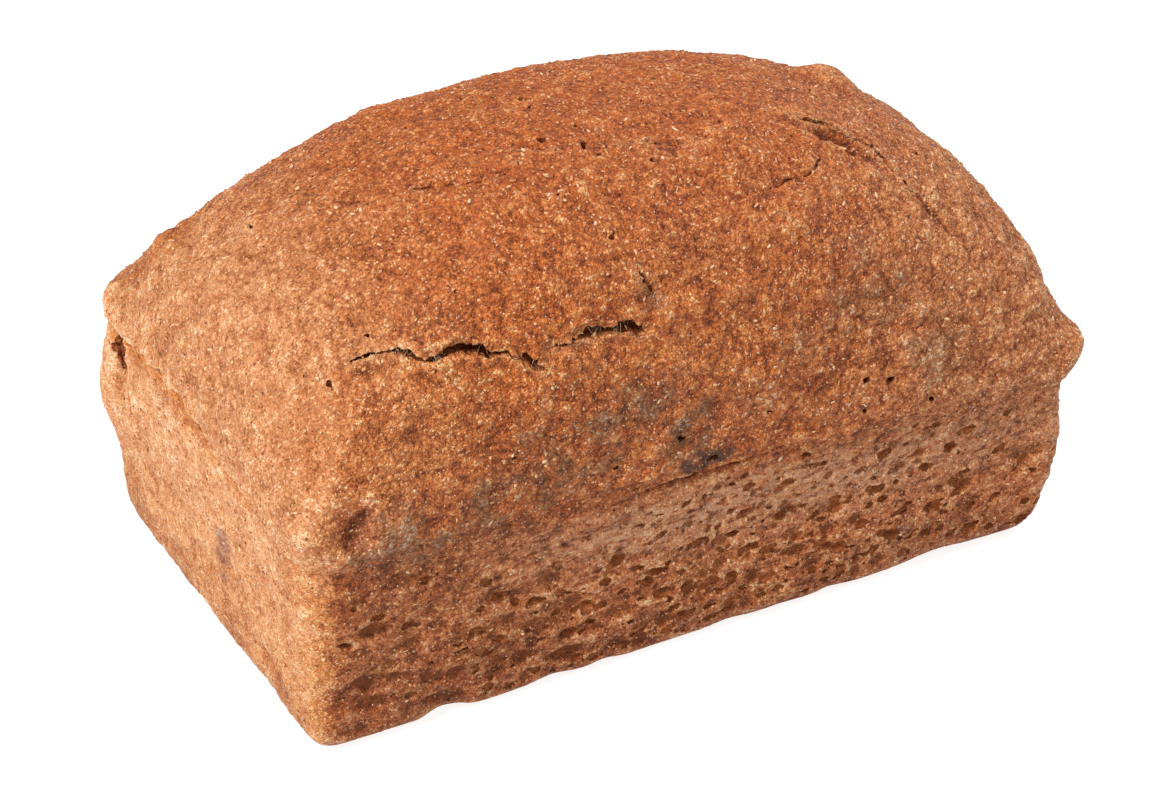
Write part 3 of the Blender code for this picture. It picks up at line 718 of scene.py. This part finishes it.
class Skin:
    """The finished crust as arrays: places in mm, shading normals, triangles and the masks of its looks."""

    def __init__(self, crust, surface):
        mesh = crust.data
        mesh.calc_loop_triangles()
        corners = np.zeros(len(mesh.loop_triangles) * 3, np.int32)
        mesh.loop_triangles.foreach_get("vertices", corners)
        self.corners = corners.reshape(-1, 3)
        self.places = places_of(mesh) / MM
        self.normals = normals_of(mesh)
        self.masks = self.work_out_masks(surface)

    def lies_below(self, rounds):
        """How far each place lies below its surroundings in mm; more rounds look further round it."""
        starts, ends = self.corners.ravel(), np.roll(self.corners, -1, axis=1).ravel()
        neighbours = np.bincount(starts, minlength=len(self.places))[:, None]
        spread = self.places.copy()
        for _ in range(rounds):
            sums = [np.bincount(starts, spread[ends, axis], len(spread)) for axis in range(3)]
            spread = (spread + np.stack(sums, axis=1) / neighbours) / 2.0
        return ((spread - self.places) * self.normals).sum(axis=1)

    def patches(self, name, ripple):
        """Where the patches of one colour lie, with ragged edges."""
        strongest = np.zeros(len(self.places))
        for middle, radius, strength in PATCHES[name]:
            away = np.linalg.norm(self.places - np.array(middle), axis=1) / radius
            here = 1.0 - smooth_step(away + ripple * 0.45, 0.35, 1.15)
            strongest = np.maximum(strongest, strength * here)
        return strongest

    def work_out_masks(self, surface):
        """Where each of the crust's looks lies, from 0 to 1."""
        places, normals = self.places, self.normals
        above_rim = places[:, 2] - rim_height_at(places)
        wander = noise_at(places, 7.0, 5.0)
        ripple = noise_at(places, 2.4, 15.0)
        wall = 1.0 - smooth_step(above_rim + wander * 3.0 + ripple * 1.6, -3.0, 5.0)
        depth = np.array([surface.find_nearest(Vector(place) * MM)[3] or 0.0 for place in places]) / MM
        # Painted shadow: a darker orange band below the left end's crease, where the dome hangs over the wall
        below, open_here = below_left_crease(places, ripple * 0.8)
        shadow_band = smooth_step(below, -0.5, 0.2) * (1.0 - smooth_step(below + ripple * 1.6, 2.4, 6.4)) * open_here
        # Painted light: the dome is painted paler towards its left end, where the key light falls, towards
        # its right end, where the back light falls, and a little on its near left
        left = smooth_step(-places[:, 0], 35.0, 75.0)
        right = smooth_step(places[:, 0], 15.0, 62.0)
        lip = np.zeros(len(places))
        for points, depth_here, _ in TEARS.values():
            nearest, travelled = along_route(places, [point[:3] for point in points])
            tear_height = np.interp(travelled, (0.0, 1.0), (points[0][2], points[-1][2]))
            downhill = smooth_step(tear_height + 2.5 - places[:, 2], 0.0, 3.0)
            reach = OPEN_LIP if depth_here > STITCHED_BELOW else STITCHED_LIP
            close = 1.0 - smooth_step(nearest, reach * 0.25, reach)
            lip = np.maximum(lip, close * (0.35 + 0.65 * downhill))
        # The left end's paler crust: partly its own colour, partly painted light, as it is chosen by facing
        # the key light and is weaker up on the dome
        end = smooth_step(-normals[:, 0], 0.2, 0.8) * smooth_step(-places[:, 0], 50.0, 80.0)
        end *= 1.0 - 0.47 * smooth_step(above_rim, -2.0, 10.0)
        end_foot = end * (1.0 - smooth_step(places[:, 2] + wander * 6.0, 6.0, 34.0)) * 0.35
        russet = np.clip(1.0 - places[:, 2] / 15.0 + wander * 0.5, 0.0, 1.0) * wall * (1.0 - 0.5 * end)
        front = smooth_step(-places[:, 1], 18.0, 40.0) * smooth_step(places[:, 0], -45.0, -15.0)
        crown = smooth_step(places[:, 2], 66.0, 94.0)
        tan_band = np.exp(-((above_rim + 7.0) / 7.0) ** 2) * smooth_step(places[:, 0], -60.0, -10.0)
        tan_band *= 1.0 - 0.5 * smooth_step(places[:, 0], 30.0, 70.0)
        return {
            "wall": wall,
            "hollow": smooth_step(depth, 0.10, 2.4),
            # dip and basin feed painted shade in the crust's hollows and painted light on its bumps
            "dip": np.clip(0.5 + self.lies_below(8) / 0.55, 0.0, 1.0),
            "basin": np.clip(0.5 + self.lies_below(44) / 1.5, 0.0, 1.0),
            # Painted shadow below the left end's overhanging crease
            "ochre": np.clip(shadow_band * (1.1 + wander * 0.8), 0.0, 1.0),
            "end": end,
            "pale": np.clip(np.maximum(left * 0.62, right * 0.88) + front * 0.22 + wander * 0.25, 0.0, 1.0),
            "tan": np.clip(tan_band * (0.9 + ripple * 0.5), 0.0, 1.0) * wall,
            "browned": np.maximum(self.patches("browned", ripple), crown * 0.5),
            # Dusky crust and painted shade on the near shoulder
            "mauve": self.patches("mauve", ripple),
            "russet": np.maximum(self.patches("russet", ripple) * wall, russet * 0.9),
            "grey": self.patches("grey", ripple * 0.5),
            "soot": self.patches("soot", ripple * 1.2),
            "amber": np.maximum(self.patches("amber", ripple), end_foot),
            "lip": lip,
        }

    def part(self, name, chosen):
        """One closed piece of the crust, with the shading of the whole where it meets the next."""
        used, renumbered = np.unique(self.corners[chosen], return_inverse=True)
        faces = renumbered.reshape(-1, 3)
        starts, ends = faces[:, [0, 1, 2]].ravel(), faces[:, [1, 2, 0]].ravel()
        forward, backward = starts * len(used) + ends, ends * len(used) + starts
        rim = ~np.isin(forward, backward)
        heart = len(used)
        lid = np.stack([ends[rim], starts[rim], np.full(rim.sum(), heart)], axis=1)
        points = np.vstack([self.places[used], [[0.0, 0.0, LID_HEIGHT]]]) * MM
        mesh = bpy.data.meshes.new(name)
        mesh.from_pydata(points.tolist(), [], np.vstack([faces, lid]).tolist())
        mesh.shade_smooth()
        for mask, values in self.masks.items():
            put_mask(mesh, mask, np.append(values[used], 0.0))
        normals = np.vstack([self.normals[used], [[0.0, 0.0, 1.0]]])
        mesh.normals_split_custom_set_from_vertices(normals.tolist())
        obj = bpy.data.objects.new(name, mesh)
        bpy.context.scene.collection.objects.link(obj)
        return obj

    def dome_triangles(self):
        middles = self.places[self.corners].mean(axis=1)
        return middles[:, 2] > rim_height_at(middles) + DOME_STARTS_ABOVE_RIM


class Signal:
    """A shader socket that takes part in Python arithmetic."""

    def __init__(self, finish, socket):
        self.finish = finish
        self.socket = socket

    def maths(self, operation, first, second):
        node = self.finish.node("ShaderNodeMath", {"operation": operation}, {0: first, 1: second})
        return Signal(self.finish, node.outputs[0])

    def __add__(self, other):
        return self.maths("ADD", self, other)

    def __radd__(self, other):
        return self.maths("ADD", other, self)

    def __sub__(self, other):
        return self.maths("SUBTRACT", self, other)

    def __rsub__(self, other):
        return self.maths("SUBTRACT", other, self)

    def __mul__(self, other):
        return self.maths("MULTIPLY", self, other)

    def __rmul__(self, other):
        return self.maths("MULTIPLY", other, self)

    def between(self, low, high):
        """0 below low, 1 above high, and smooth between them."""
        settings = {"interpolation_type": "SMOOTHSTEP"}
        sockets = {"Value": self, "From Min": low, "From Max": high}
        return Signal(self.finish, self.finish.node("ShaderNodeMapRange", settings, sockets).outputs[0])


class Finish:
    """A material and the few ways of adding to it."""

    def __init__(self, name, **constants):
        self.material = bpy.data.materials.new(name)
        self.material.use_nodes = True
        self.tree = self.material.node_tree
        self.shader = self.tree.nodes["Principled BSDF"]
        for key, value in constants.items():
            self.shader.inputs[key.replace("_", " ").title().replace("Ior", "IOR")].default_value = value
        self.place = self.node("ShaderNodeTexCoord", {}, {}).outputs["Object"]

    def node(self, kind, settings, sockets):
        node = self.tree.nodes.new(kind)
        for key, value in settings.items():
            if key == "stops":
                self.set_stops(node.color_ramp, value)
            else:
                setattr(node, key, value)
        for key, value in sockets.items():
            if isinstance(value, Signal):
                value = value.socket
            if isinstance(value, bpy.types.NodeSocket):
                self.tree.links.new(value, node.inputs[key])
            else:
                node.inputs[key].default_value = value
        return node

    def set_stops(self, ramp, stops):
        while len(ramp.elements) < len(stops):
            ramp.elements.new(1.0)
        for element, (position, colour) in zip(ramp.elements, stops):
            element.position = position
            element.color = (*colour, 1.0)

    def mask(self, name):
        return Signal(self, self.node("ShaderNodeAttribute", {"attribute_name": name}, {}).outputs["Fac"])

    def noise(self, size, detail=3.0, roughness=0.55, place=None):
        sockets = {"Vector": place or self.place, "Scale": 1.0 / size}
        sockets.update({"Detail": detail, "Roughness": roughness})
        return Signal(self, self.node("ShaderNodeTexNoise", {}, sockets).outputs["Fac"])

    def cells(self, size):
        """Voronoi cells: how far from each cell's middle, and a number of the cell's own."""
        sockets = {"Vector": self.place, "Scale": 1.0 / size}
        node = self.node("ShaderNodeTexVoronoi", {}, sockets)
        own = self.node("ShaderNodeSeparateColor", {}, {"Color": node.outputs["Color"]})
        return Signal(self, node.outputs["Distance"]), Signal(self, own.outputs["Red"])

    def stretched(self, scale):
        return self.node("ShaderNodeMapping", {}, {"Vector": self.place, "Scale": scale}).outputs[0]

    def ramp(self, value, stops):
        return self.node("ShaderNodeValToRGB", {"stops": stops}, {"Fac": value}).outputs["Color"]

    def mix(self, share, first, second, blend="MIX"):
        node = self.node("ShaderNodeMix", {"data_type": "RGBA", "blend_type": blend}, {})
        for socket, value in ((node.inputs[0], share), (node.inputs[6], first), (node.inputs[7], second)):
            if isinstance(value, Signal):
                value = value.socket
            if isinstance(value, bpy.types.NodeSocket):
                self.tree.links.new(value, socket)
            elif isinstance(value, tuple):
                socket.default_value = (*value, 1.0)
            else:
                socket.default_value = value
        return node.outputs[2]

    def connect(self, **sockets):
        for key, value in sockets.items():
            if isinstance(value, Signal):
                value = value.socket
            self.tree.links.new(value, self.shader.inputs[key.replace("_", " ").title()])

    def bump(self, height, distance, strength=1.0):
        sockets = {"Height": height, "Distance": distance, "Strength": strength}
        return self.node("ShaderNodeBump", {}, sockets).outputs["Normal"]


# The crust's colours from its darkest tone to its palest: on the dome, on the dome where painted light makes
# it paler, on the left end, partly painted light, and on the tin walls
DOME_GRAINS = (
    (0.00, (0.095, 0.019, 0.005)),
    (0.18, (0.215, 0.045, 0.009)),
    (0.38, (0.390, 0.090, 0.018)),
    (0.58, (0.535, 0.139, 0.028)),
    (0.76, (0.635, 0.196, 0.045)),
    (0.90, (0.715, 0.295, 0.094)),
    (1.00, (0.820, 0.485, 0.225)),
)
LIT_DOME_GRAINS = (
    (0.00, (0.130, 0.031, 0.010)),
    (0.22, (0.300, 0.082, 0.023)),
    (0.46, (0.465, 0.157, 0.049)),
    (0.68, (0.585, 0.228, 0.080)),
    (0.88, (0.690, 0.330, 0.142)),
    (1.00, (0.830, 0.540, 0.295)),
)
LIT_END_GRAINS = (
    (0.00, (0.400, 0.128, 0.044)),
    (0.22, (0.560, 0.214, 0.078)),
    (0.46, (0.690, 0.312, 0.135)),
    (0.70, (0.780, 0.405, 0.196)),
    (0.88, (0.860, 0.525, 0.295)),
    (1.00, (0.950, 0.750, 0.520)),
)
WALL_GRAINS = (
    (0.00, (0.085, 0.020, 0.005)),
    (0.22, (0.218, 0.054, 0.013)),
    (0.46, (0.382, 0.108, 0.030)),
    (0.70, (0.510, 0.173, 0.056)),
    (0.88, (0.610, 0.263, 0.104)),
    (1.00, (0.735, 0.425, 0.224)),
)
# The colours inside the hollows, from the brim down to the floor
HOLLOW_FLOOR = (
    (0.00, (0.480, 0.170, 0.055)),
    (0.18, (0.430, 0.124, 0.030)),
    (0.42, (0.300, 0.078, 0.018)),
    (0.66, (0.220, 0.055, 0.013)),
    (0.90, (0.480, 0.160, 0.056)),
)
# Single colours that are mixed over those
DIP_ORANGE_AND_SHADE = (0.320, 0.088, 0.020)
GAP_BROWN_AND_SHADE = (0.200, 0.046, 0.011)
TAN = (0.600, 0.330, 0.198)
NEAR_BLACK = (0.030, 0.022, 0.020)
LIP_CREAM = (0.640, 0.340, 0.155)
GLINT_CREAM = (0.880, 0.700, 0.500)
# These shade what lies under them, by multiplying its colour
# The crease shadow tint paints the shadow under the left end's overhanging crease
CREASE_SHADOW_TINT = (0.84, 0.58, 0.24)
AMBER_SHADE = (0.80, 0.58, 0.31)
BROWNED_SHADE = (0.64, 0.47, 0.42)
RUSSET_SHADE = (0.60, 0.46, 0.36)
# The mauve tint is partly the crust's dusky colour, partly painted shade on the near shoulder
MAUVE_AND_SHADE_TINT = (0.50, 0.70, 1.15)
GREY_SHADE = (0.48, 0.46, 0.62)
# How large the grains, specks, mottles and fibres of the crust's colour are, and how high they stand
GRAIN_SIZE = 0.85 * MM
SPECK_SIZE = 0.42 * MM
MOTTLE_SIZE = 4.5 * MM
FINE_SIZE = 0.34 * MM
FIBRE_SIZE = 1.1 * MM
GRAIN_BUMP = 0.46 * MM
# What is scattered over the crust: how many, the random seed, and the smallest and largest
BRAN_FLAKES = (8200, 3, (0.13 * MM, 0.60 * MM))
CRUST_GRAINS = (9500, 4, (0.14 * MM, 0.42 * MM))
DARK_BRAN = (2600, 5, (0.10 * MM, 0.30 * MM))


def crust_finish():
    """Browned grainy crust over the dome, tan porous crumb on the tin walls."""
    finish = Finish("browned_crust", specular_ior_level=0.25)
    grain, grain_pick = finish.cells(GRAIN_SIZE)
    speck, speck_pick = finish.cells(SPECK_SIZE)
    mottle = finish.noise(MOTTLE_SIZE, 4.0, 0.6)
    fine = finish.noise(FINE_SIZE, 2.0, 0.6)
    streak = finish.noise(FIBRE_SIZE, 4.0, 0.65, finish.stretched((0.45, 1.0, 1.0)))
    wall, dip, basin = finish.mask("wall"), finish.mask("dip"), finish.mask("basin")
    # Painted shade and light: hollows of the crust darker, its bumps paler
    relief_shade = (0.5 - dip) * 0.38 + (0.5 - basin) * 0.35
    tone = grain_pick * 0.22 + speck_pick * 0.44 + mottle * 1.2 + fine * 1.25 - 1.075 + relief_shade
    dome_colour = finish.ramp(tone, DOME_GRAINS)
    # Painted light: paler crust where the key and back lights fall on the dome
    dome_colour = finish.mix(finish.mask("pale"), dome_colour, finish.ramp(tone, LIT_DOME_GRAINS))
    browned = finish.mask("browned") * mottle.between(0.38, 0.60)
    dome_colour = finish.mix(browned, dome_colour, BROWNED_SHADE, "MULTIPLY")
    # Darker brown between the grains: partly the crust's own colour, partly painted shade in the gaps
    dome_colour = finish.mix(grain.between(0.42, 0.80) * 0.55, dome_colour, GAP_BROWN_AND_SHADE)
    wall_tone = streak * 1.2 + speck_pick * 0.48 + mottle * 1.3 + fine * 1.2 - 1.64 + relief_shade * 1.3
    wall_colour = finish.ramp(wall_tone, WALL_GRAINS)
    wall_colour = finish.mix(finish.mask("tan") * streak.between(0.38, 0.58) * 0.68, wall_colour, TAN)
    # Darker orange in the walls' dips: partly the crumb's colour, partly painted shade
    wall_colour = finish.mix(dip.between(0.58, 0.95) * 0.6, wall_colour, DIP_ORANGE_AND_SHADE)
    colour = finish.mix(wall, dome_colour, wall_colour)
    # Left end: partly its own paler crust, partly painted light where it faces the key light
    colour = finish.mix(finish.mask("end") * 0.9, colour, finish.ramp(tone, LIT_END_GRAINS))
    colour = finish.mix(finish.mask("russet") * (0.35 + mottle * 0.9), colour, RUSSET_SHADE, "MULTIPLY")
    # Painted shadow below the left end's overhanging crease
    colour = finish.mix(finish.mask("ochre") * (0.50 + mottle), colour, CREASE_SHADOW_TINT, "MULTIPLY")
    colour = finish.mix(finish.mask("amber") * (0.45 + mottle), colour, AMBER_SHADE, "MULTIPLY")
    colour = finish.mix(finish.mask("lip") * fine.between(0.35, 0.6) * 0.5, colour, LIP_CREAM)
    glint = speck_pick.between(0.91, 0.97) * (1.0 - speck.between(0.2, 0.5)) * 0.7
    colour = finish.mix(glint, colour, GLINT_CREAM)
    # Partly dusky crust, partly painted shade on the near shoulder and under its overhang
    colour = finish.mix(finish.mask("mauve") * mottle.between(0.34, 0.58), colour, MAUVE_AND_SHADE_TINT, "MULTIPLY")
    colour = finish.mix(finish.mask("grey") * (0.6 + fine * 0.5), colour, GREY_SHADE, "MULTIPLY")
    hollow = finish.mask("hollow")
    floor_tone = hollow * 0.9 + (0.5 - fine) * 0.6 + (0.5 - mottle) * 0.6
    inside = hollow.between(0.01, 0.24) * (0.70 + fine * 0.3)
    colour = finish.mix(inside, colour, finish.ramp(floor_tone, HOLLOW_FLOOR))
    # Near-black spots, most of them over holes and creases
    colour = finish.mix(finish.mask("soot") * fine.between(0.15, 0.52) * 0.92, colour, NEAR_BLACK)
    roughness = 0.70 - speck_pick.between(0.72, 0.95) * 0.40 + hollow * 0.2
    height = (1.0 - grain) * 0.45 + (1.0 - speck) * 0.6 + fine * 1.0 + streak * wall * 0.6
    finish.connect(base_color=colour, roughness=roughness, normal=finish.bump(height, GRAIN_BUMP))
    return finish.material


def scatter(name, skin, template, faces, count, seed, size_range, wanted, sink, tilt):
    """Many copies of one small shape on the crust, as one joined mesh with a shade for each copy."""
    corners = skin.corners
    a, b, c = [skin.places[corners[:, corner]] * MM for corner in range(3)]
    area = np.linalg.norm(np.cross(b - a, c - a), axis=1) / 2.0
    normal = skin.normals[corners[:, 0]]
    chance = area * np.clip(wanted[corners].mean(axis=1), 0.0, None)
    draw = np.random.default_rng(seed)
    picks = draw.choice(len(corners), size=count, p=chance / chance.sum())
    first, second = draw.random(count), draw.random(count)
    over = first + second > 1.0
    first, second = np.where(over, 1.0 - first, first), np.where(over, 1.0 - second, second)
    middle = a[picks] + (b - a)[picks] * first[:, None] + (c - a)[picks] * second[:, None]
    up = normal[picks] + draw.normal(0.0, tilt, (count, 3))
    up /= np.linalg.norm(up, axis=1)[:, None]
    side = np.cross(up, draw.normal(0.0, 1.0, (count, 3)))
    side /= np.linalg.norm(side, axis=1)[:, None]
    front = np.cross(up, side)
    scale = size_range[0] + (size_range[1] - size_range[0]) * draw.random(count) ** 2.0
    stretch = draw.uniform(0.7, 1.3, (count, 3))
    local = template[None, :, :] * stretch[:, None, :] * scale[:, None, None]
    world = (local[:, :, 0:1] * side[:, None, :] + local[:, :, 1:2] * front[:, None, :]
             + local[:, :, 2:3] * up[:, None, :] + (middle - up * scale[:, None] * sink)[:, None, :])
    inside = np.all((world > np.array(cad_low)) & (world < np.array(cad_high)), axis=(1, 2))
    world = world[inside]
    shades = draw.random(count)[inside]
    obj = joined_mesh(name, list(world), faces)
    put_mask(obj.data, "shade", np.repeat(shades, len(template)))
    obj.data.shade_smooth()
    return obj


def flake_template():
    """A thin uneven scale of bran."""
    bpy.ops.object.select_all(action="DESELECT")
    bpy.ops.mesh.primitive_circle_add(vertices=6, radius=1.0, fill_type="TRIFAN")
    bpy.ops.object.mode_set(mode="EDIT")
    bpy.ops.mesh.select_all(action="SELECT")
    bpy.ops.transform.resize(value=(1.0, 0.55, 1.0))
    bpy.ops.transform.vertex_random(offset=0.12, seed=5)
    bpy.ops.mesh.extrude_region_move(TRANSFORM_OT_translate={"value": (0.0, 0.0, 0.22)})
    bpy.ops.mesh.select_all(action="SELECT")
    bpy.ops.mesh.normals_make_consistent(inside=False)
    bpy.ops.object.mode_set(mode="OBJECT")
    return as_template(bpy.context.active_object)


def grain_template():
    """A rounded granule, longer than it is high."""
    bpy.ops.object.select_all(action="DESELECT")
    bpy.ops.mesh.primitive_ico_sphere_add(subdivisions=1, radius=1.0)
    bpy.ops.object.mode_set(mode="EDIT")
    bpy.ops.mesh.select_all(action="SELECT")
    bpy.ops.transform.resize(value=(1.1, 0.95, 0.9))
    bpy.ops.transform.vertex_random(offset=0.08, seed=6)
    bpy.ops.object.mode_set(mode="OBJECT")
    return as_template(bpy.context.active_object)


def speckle_finish(name, stops, roughness, level):
    finish = Finish(name, roughness=roughness, specular_ior_level=level)
    colour = finish.ramp(finish.mask("shade"), stops)
    patch = finish.noise(0.4 * MM, 2.0)
    colour = finish.mix(patch * 0.35, colour, (0.30, 0.11, 0.035), "MULTIPLY")
    finish.connect(base_color=colour, normal=finish.bump(patch, 0.08 * MM, 0.6))
    return finish.material


def dress(obj, material):
    obj.data.materials.clear()
    obj.data.materials.append(material)
    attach(obj, "root")
    return obj


def add_scattered(skin):
    places, normals, wall = skin.places, skin.normals, skin.masks["wall"]
    exposed = (1.0 - smooth_step(skin.masks["hollow"], 0.02, 0.12)) * smooth_step(normals[:, 2], -0.6, -0.2)
    dome = (1.0 - wall) * exposed
    clumps = np.clip(0.6 + noise_at(places, 8.0, 21.0) * 1.6, 0.1, None)
    flaky = (dome + wall * exposed * 0.4) * clumps * (1.0 + skin.masks["lip"] * 3.0)
    flakes = scatter("bran_flakes", skin, *flake_template(), *BRAN_FLAKES, flaky, 0.05, 0.45)
    dress(flakes, speckle_finish("pale_bran", (
        (0.0, (0.46, 0.16, 0.045)), (0.6, (0.62, 0.29, 0.11)), (1.0, (0.82, 0.56, 0.32)),
    ), 0.36, 0.5))
    grainy = dome + wall * exposed * 0.35
    grains = scatter("crust_grains", skin, *grain_template(), *CRUST_GRAINS, grainy, 0.40, 0.2)
    dress(grains, speckle_finish("toasted_grain", (
        (0.0, (0.18, 0.040, 0.009)), (0.35, (0.42, 0.102, 0.020)), (0.75, (0.56, 0.168, 0.036)),
        (1.0, (0.72, 0.35, 0.125)),
    ), 0.40, 0.5))
    specked = exposed * (0.7 + skin.masks["end"])
    specks = scatter("dark_bran", skin, *flake_template(), *DARK_BRAN, specked, 0.10, 0.25)
    dress(specks, speckle_finish("dark_bran", (
        (0.0, (0.030, 0.010, 0.006)), (0.6, (0.085, 0.026, 0.012)), (1.0, (0.20, 0.06, 0.02)),
    ), 0.6, 0.35))


def strand(points, radius):
    """A thin three-sided strand through these points."""
    rings = []
    for index, point in enumerate(points):
        forward = (points[min(index + 1, len(points) - 1)] - points[max(index - 1, 0)]).normalized()
        side = forward.orthogonal().normalized()
        other = forward.cross(side)
        thin = radius * (1.0 if 0 < index < len(points) - 1 else 1.5)
        for corner in range(STRAND_SIDES):
            angle = corner * math.tau / STRAND_SIDES
            rings.append(point + side * math.cos(angle) * thin + other * math.sin(angle) * thin)
    return np.array(rings)


def strand_faces(count):
    """The triangles of a strand with this many rings, its ends closed."""
    last = STRAND_SIDES * (count - 1)
    faces = [(0, 2, 1), (last, last + 1, last + 2)]
    for ring in range(count - 1):
        start = ring * STRAND_SIDES
        for corner in range(STRAND_SIDES):
            low, beside = start + corner, start + (corner + 1) % STRAND_SIDES
            above = low + STRAND_SIDES
            faces += [(low, beside, beside + STRAND_SIDES), (low, beside + STRAND_SIDES, above)]
    return np.array(faces)


def add_fibres(plain, surface):
    """Pale strands of crumb that still hold across the tears, most of them in a few clusters."""
    draw = random.Random(12)
    strands = []
    for name, clusters in FIBRED_TEARS.items():
        points, _, _ = TEARS[name]
        _, length = on_route(points, 0.0)
        for _ in range(int(length * FIBRES_A_MM)):
            share = draw.uniform(0.02, 0.98)
            if draw.uniform(0.0, 1.0) < 0.6:
                share = draw.choice(clusters) + draw.gauss(0.0, 0.03)
            middle, along, normal, uphill, half_gap = tear_frame(plain, surface, points, share)
            reach = half_gap + draw.uniform(0.15, 0.45)
            lean = along * draw.uniform(-0.8, 0.8)
            top = middle + uphill * reach + lean - normal * draw.uniform(0.1, 0.4)
            foot = middle - uphill * reach - lean * 0.4 - normal * draw.uniform(0.0, 0.3)
            if draw.uniform(0.0, 1.0) < 0.45:
                foot = middle + uphill * draw.uniform(-0.3, 0.3) - normal * draw.uniform(0.2, 0.9)
            sag = -normal * draw.uniform(0.1, 0.5)
            route = [(top.lerp(foot, part) + sag * math.sin(part * math.pi)) * MM for part in STRAND_STEPS]
            strands.append(strand(route, draw.uniform(0.02, 0.042) * MM))
    fibres = joined_mesh("tear_fibres", strands, strand_faces(len(STRAND_STEPS)))
    shades = [draw.uniform(0.0, 1.0) for _ in strands]
    put_mask(fibres.data, "shade", np.repeat(shades, STRAND_SIDES * len(STRAND_STEPS)))
    fibres.data.shade_smooth()
    dress(fibres, speckle_finish("pale_crumb", (
        (0.0, (0.60, 0.36, 0.18)), (1.0, (0.86, 0.70, 0.50)),
    ), 0.5, 0.4))


def add_stage():
    """A white floor that runs far behind the loaf."""
    bpy.ops.mesh.primitive_plane_add(size=FLOOR_SIZE, location=(0.0, 0.0, -FLOOR_DROP))
    floor = bpy.context.active_object
    floor.name = "studio_floor"
    paper = Finish("white_paper", roughness=0.9, specular_ior_level=0.0)
    paper.shader.inputs["Base Color"].default_value = FLOOR_GREY
    paper.shader.inputs["Emission Color"].default_value = WHITE
    paper.shader.inputs["Emission Strength"].default_value = FLOOR_GLOW
    floor.data.materials.append(paper.material)


def add_light(name, place, size, power, colour):
    lamp = bpy.data.lights.new(name, "AREA")
    lamp.shape = "DISK"
    lamp.size = size
    lamp.energy = power
    lamp.color = colour
    obj = bpy.data.objects.new(name, lamp)
    bpy.context.scene.collection.objects.link(obj)
    obj.location = place
    obj.rotation_euler = (Vector((0.0, 0.0, 0.05)) - Vector(place)).to_track_quat("-Z", "Y").to_euler()


def add_lights():
    for name, place, size, power, colour in LIGHTS:
        add_light(name, place, size, power, colour)
    world = bpy.data.worlds.new("studio")
    world.use_nodes = True
    world.node_tree.nodes["Background"].inputs["Color"].default_value = WHITE
    world.node_tree.nodes["Background"].inputs["Strength"].default_value = WORLD_STRENGTH
    bpy.context.scene.world = world


def add_camera():
    camera = bpy.data.cameras.new("camera")
    camera.sensor_width = SENSOR
    camera.lens = FOCAL_PIXELS / IMAGE_WIDTH * SENSOR
    camera.clip_start = 0.01
    obj = bpy.data.objects.new("camera", camera)
    bpy.context.scene.collection.objects.link(obj)
    back = Vector((math.sin(VIEW_AZIMUTH) * math.cos(VIEW_ELEVATION),
                   -math.cos(VIEW_AZIMUTH) * math.cos(VIEW_ELEVATION), math.sin(VIEW_ELEVATION)))
    level = Vector((math.cos(VIEW_AZIMUTH), math.sin(VIEW_AZIMUTH), 0.0))
    upright = back.cross(level)
    right = level * math.cos(VIEW_ROLL) + upright * math.sin(VIEW_ROLL)
    up = upright * math.cos(VIEW_ROLL) - level * math.sin(VIEW_ROLL)
    turn = Matrix((right, up, back)).transposed()
    obj.matrix_world = Matrix.Translation(VIEW_TARGET + back * VIEW_DISTANCE) @ turn.to_4x4()
    bpy.context.scene.camera = obj


def build_loaf():
    crust = plain_crust()
    plain = surface_of(crust)
    shape_crust(crust)
    surface = cut_hollows(crust, plain)
    thin_crust(crust)
    put_places(crust.data, np.clip(places_of(crust.data), np.array(cad_low), np.array(cad_high)))
    skin = Skin(crust, surface)
    bpy.data.objects.remove(crust)
    above = skin.dome_triangles()
    material = crust_finish()
    for name, chosen in (("dome_crust", above), ("tin_walls", ~above)):
        piece = dress(skin.part(name, chosen), material)
        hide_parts("loaf")
    add_scattered(skin)
    add_fibres(plain, surface)


add_camera()
add_lights()
add_stage()
build_loaf()
bpy.context.scene.view_settings.view_transform = "Standard"
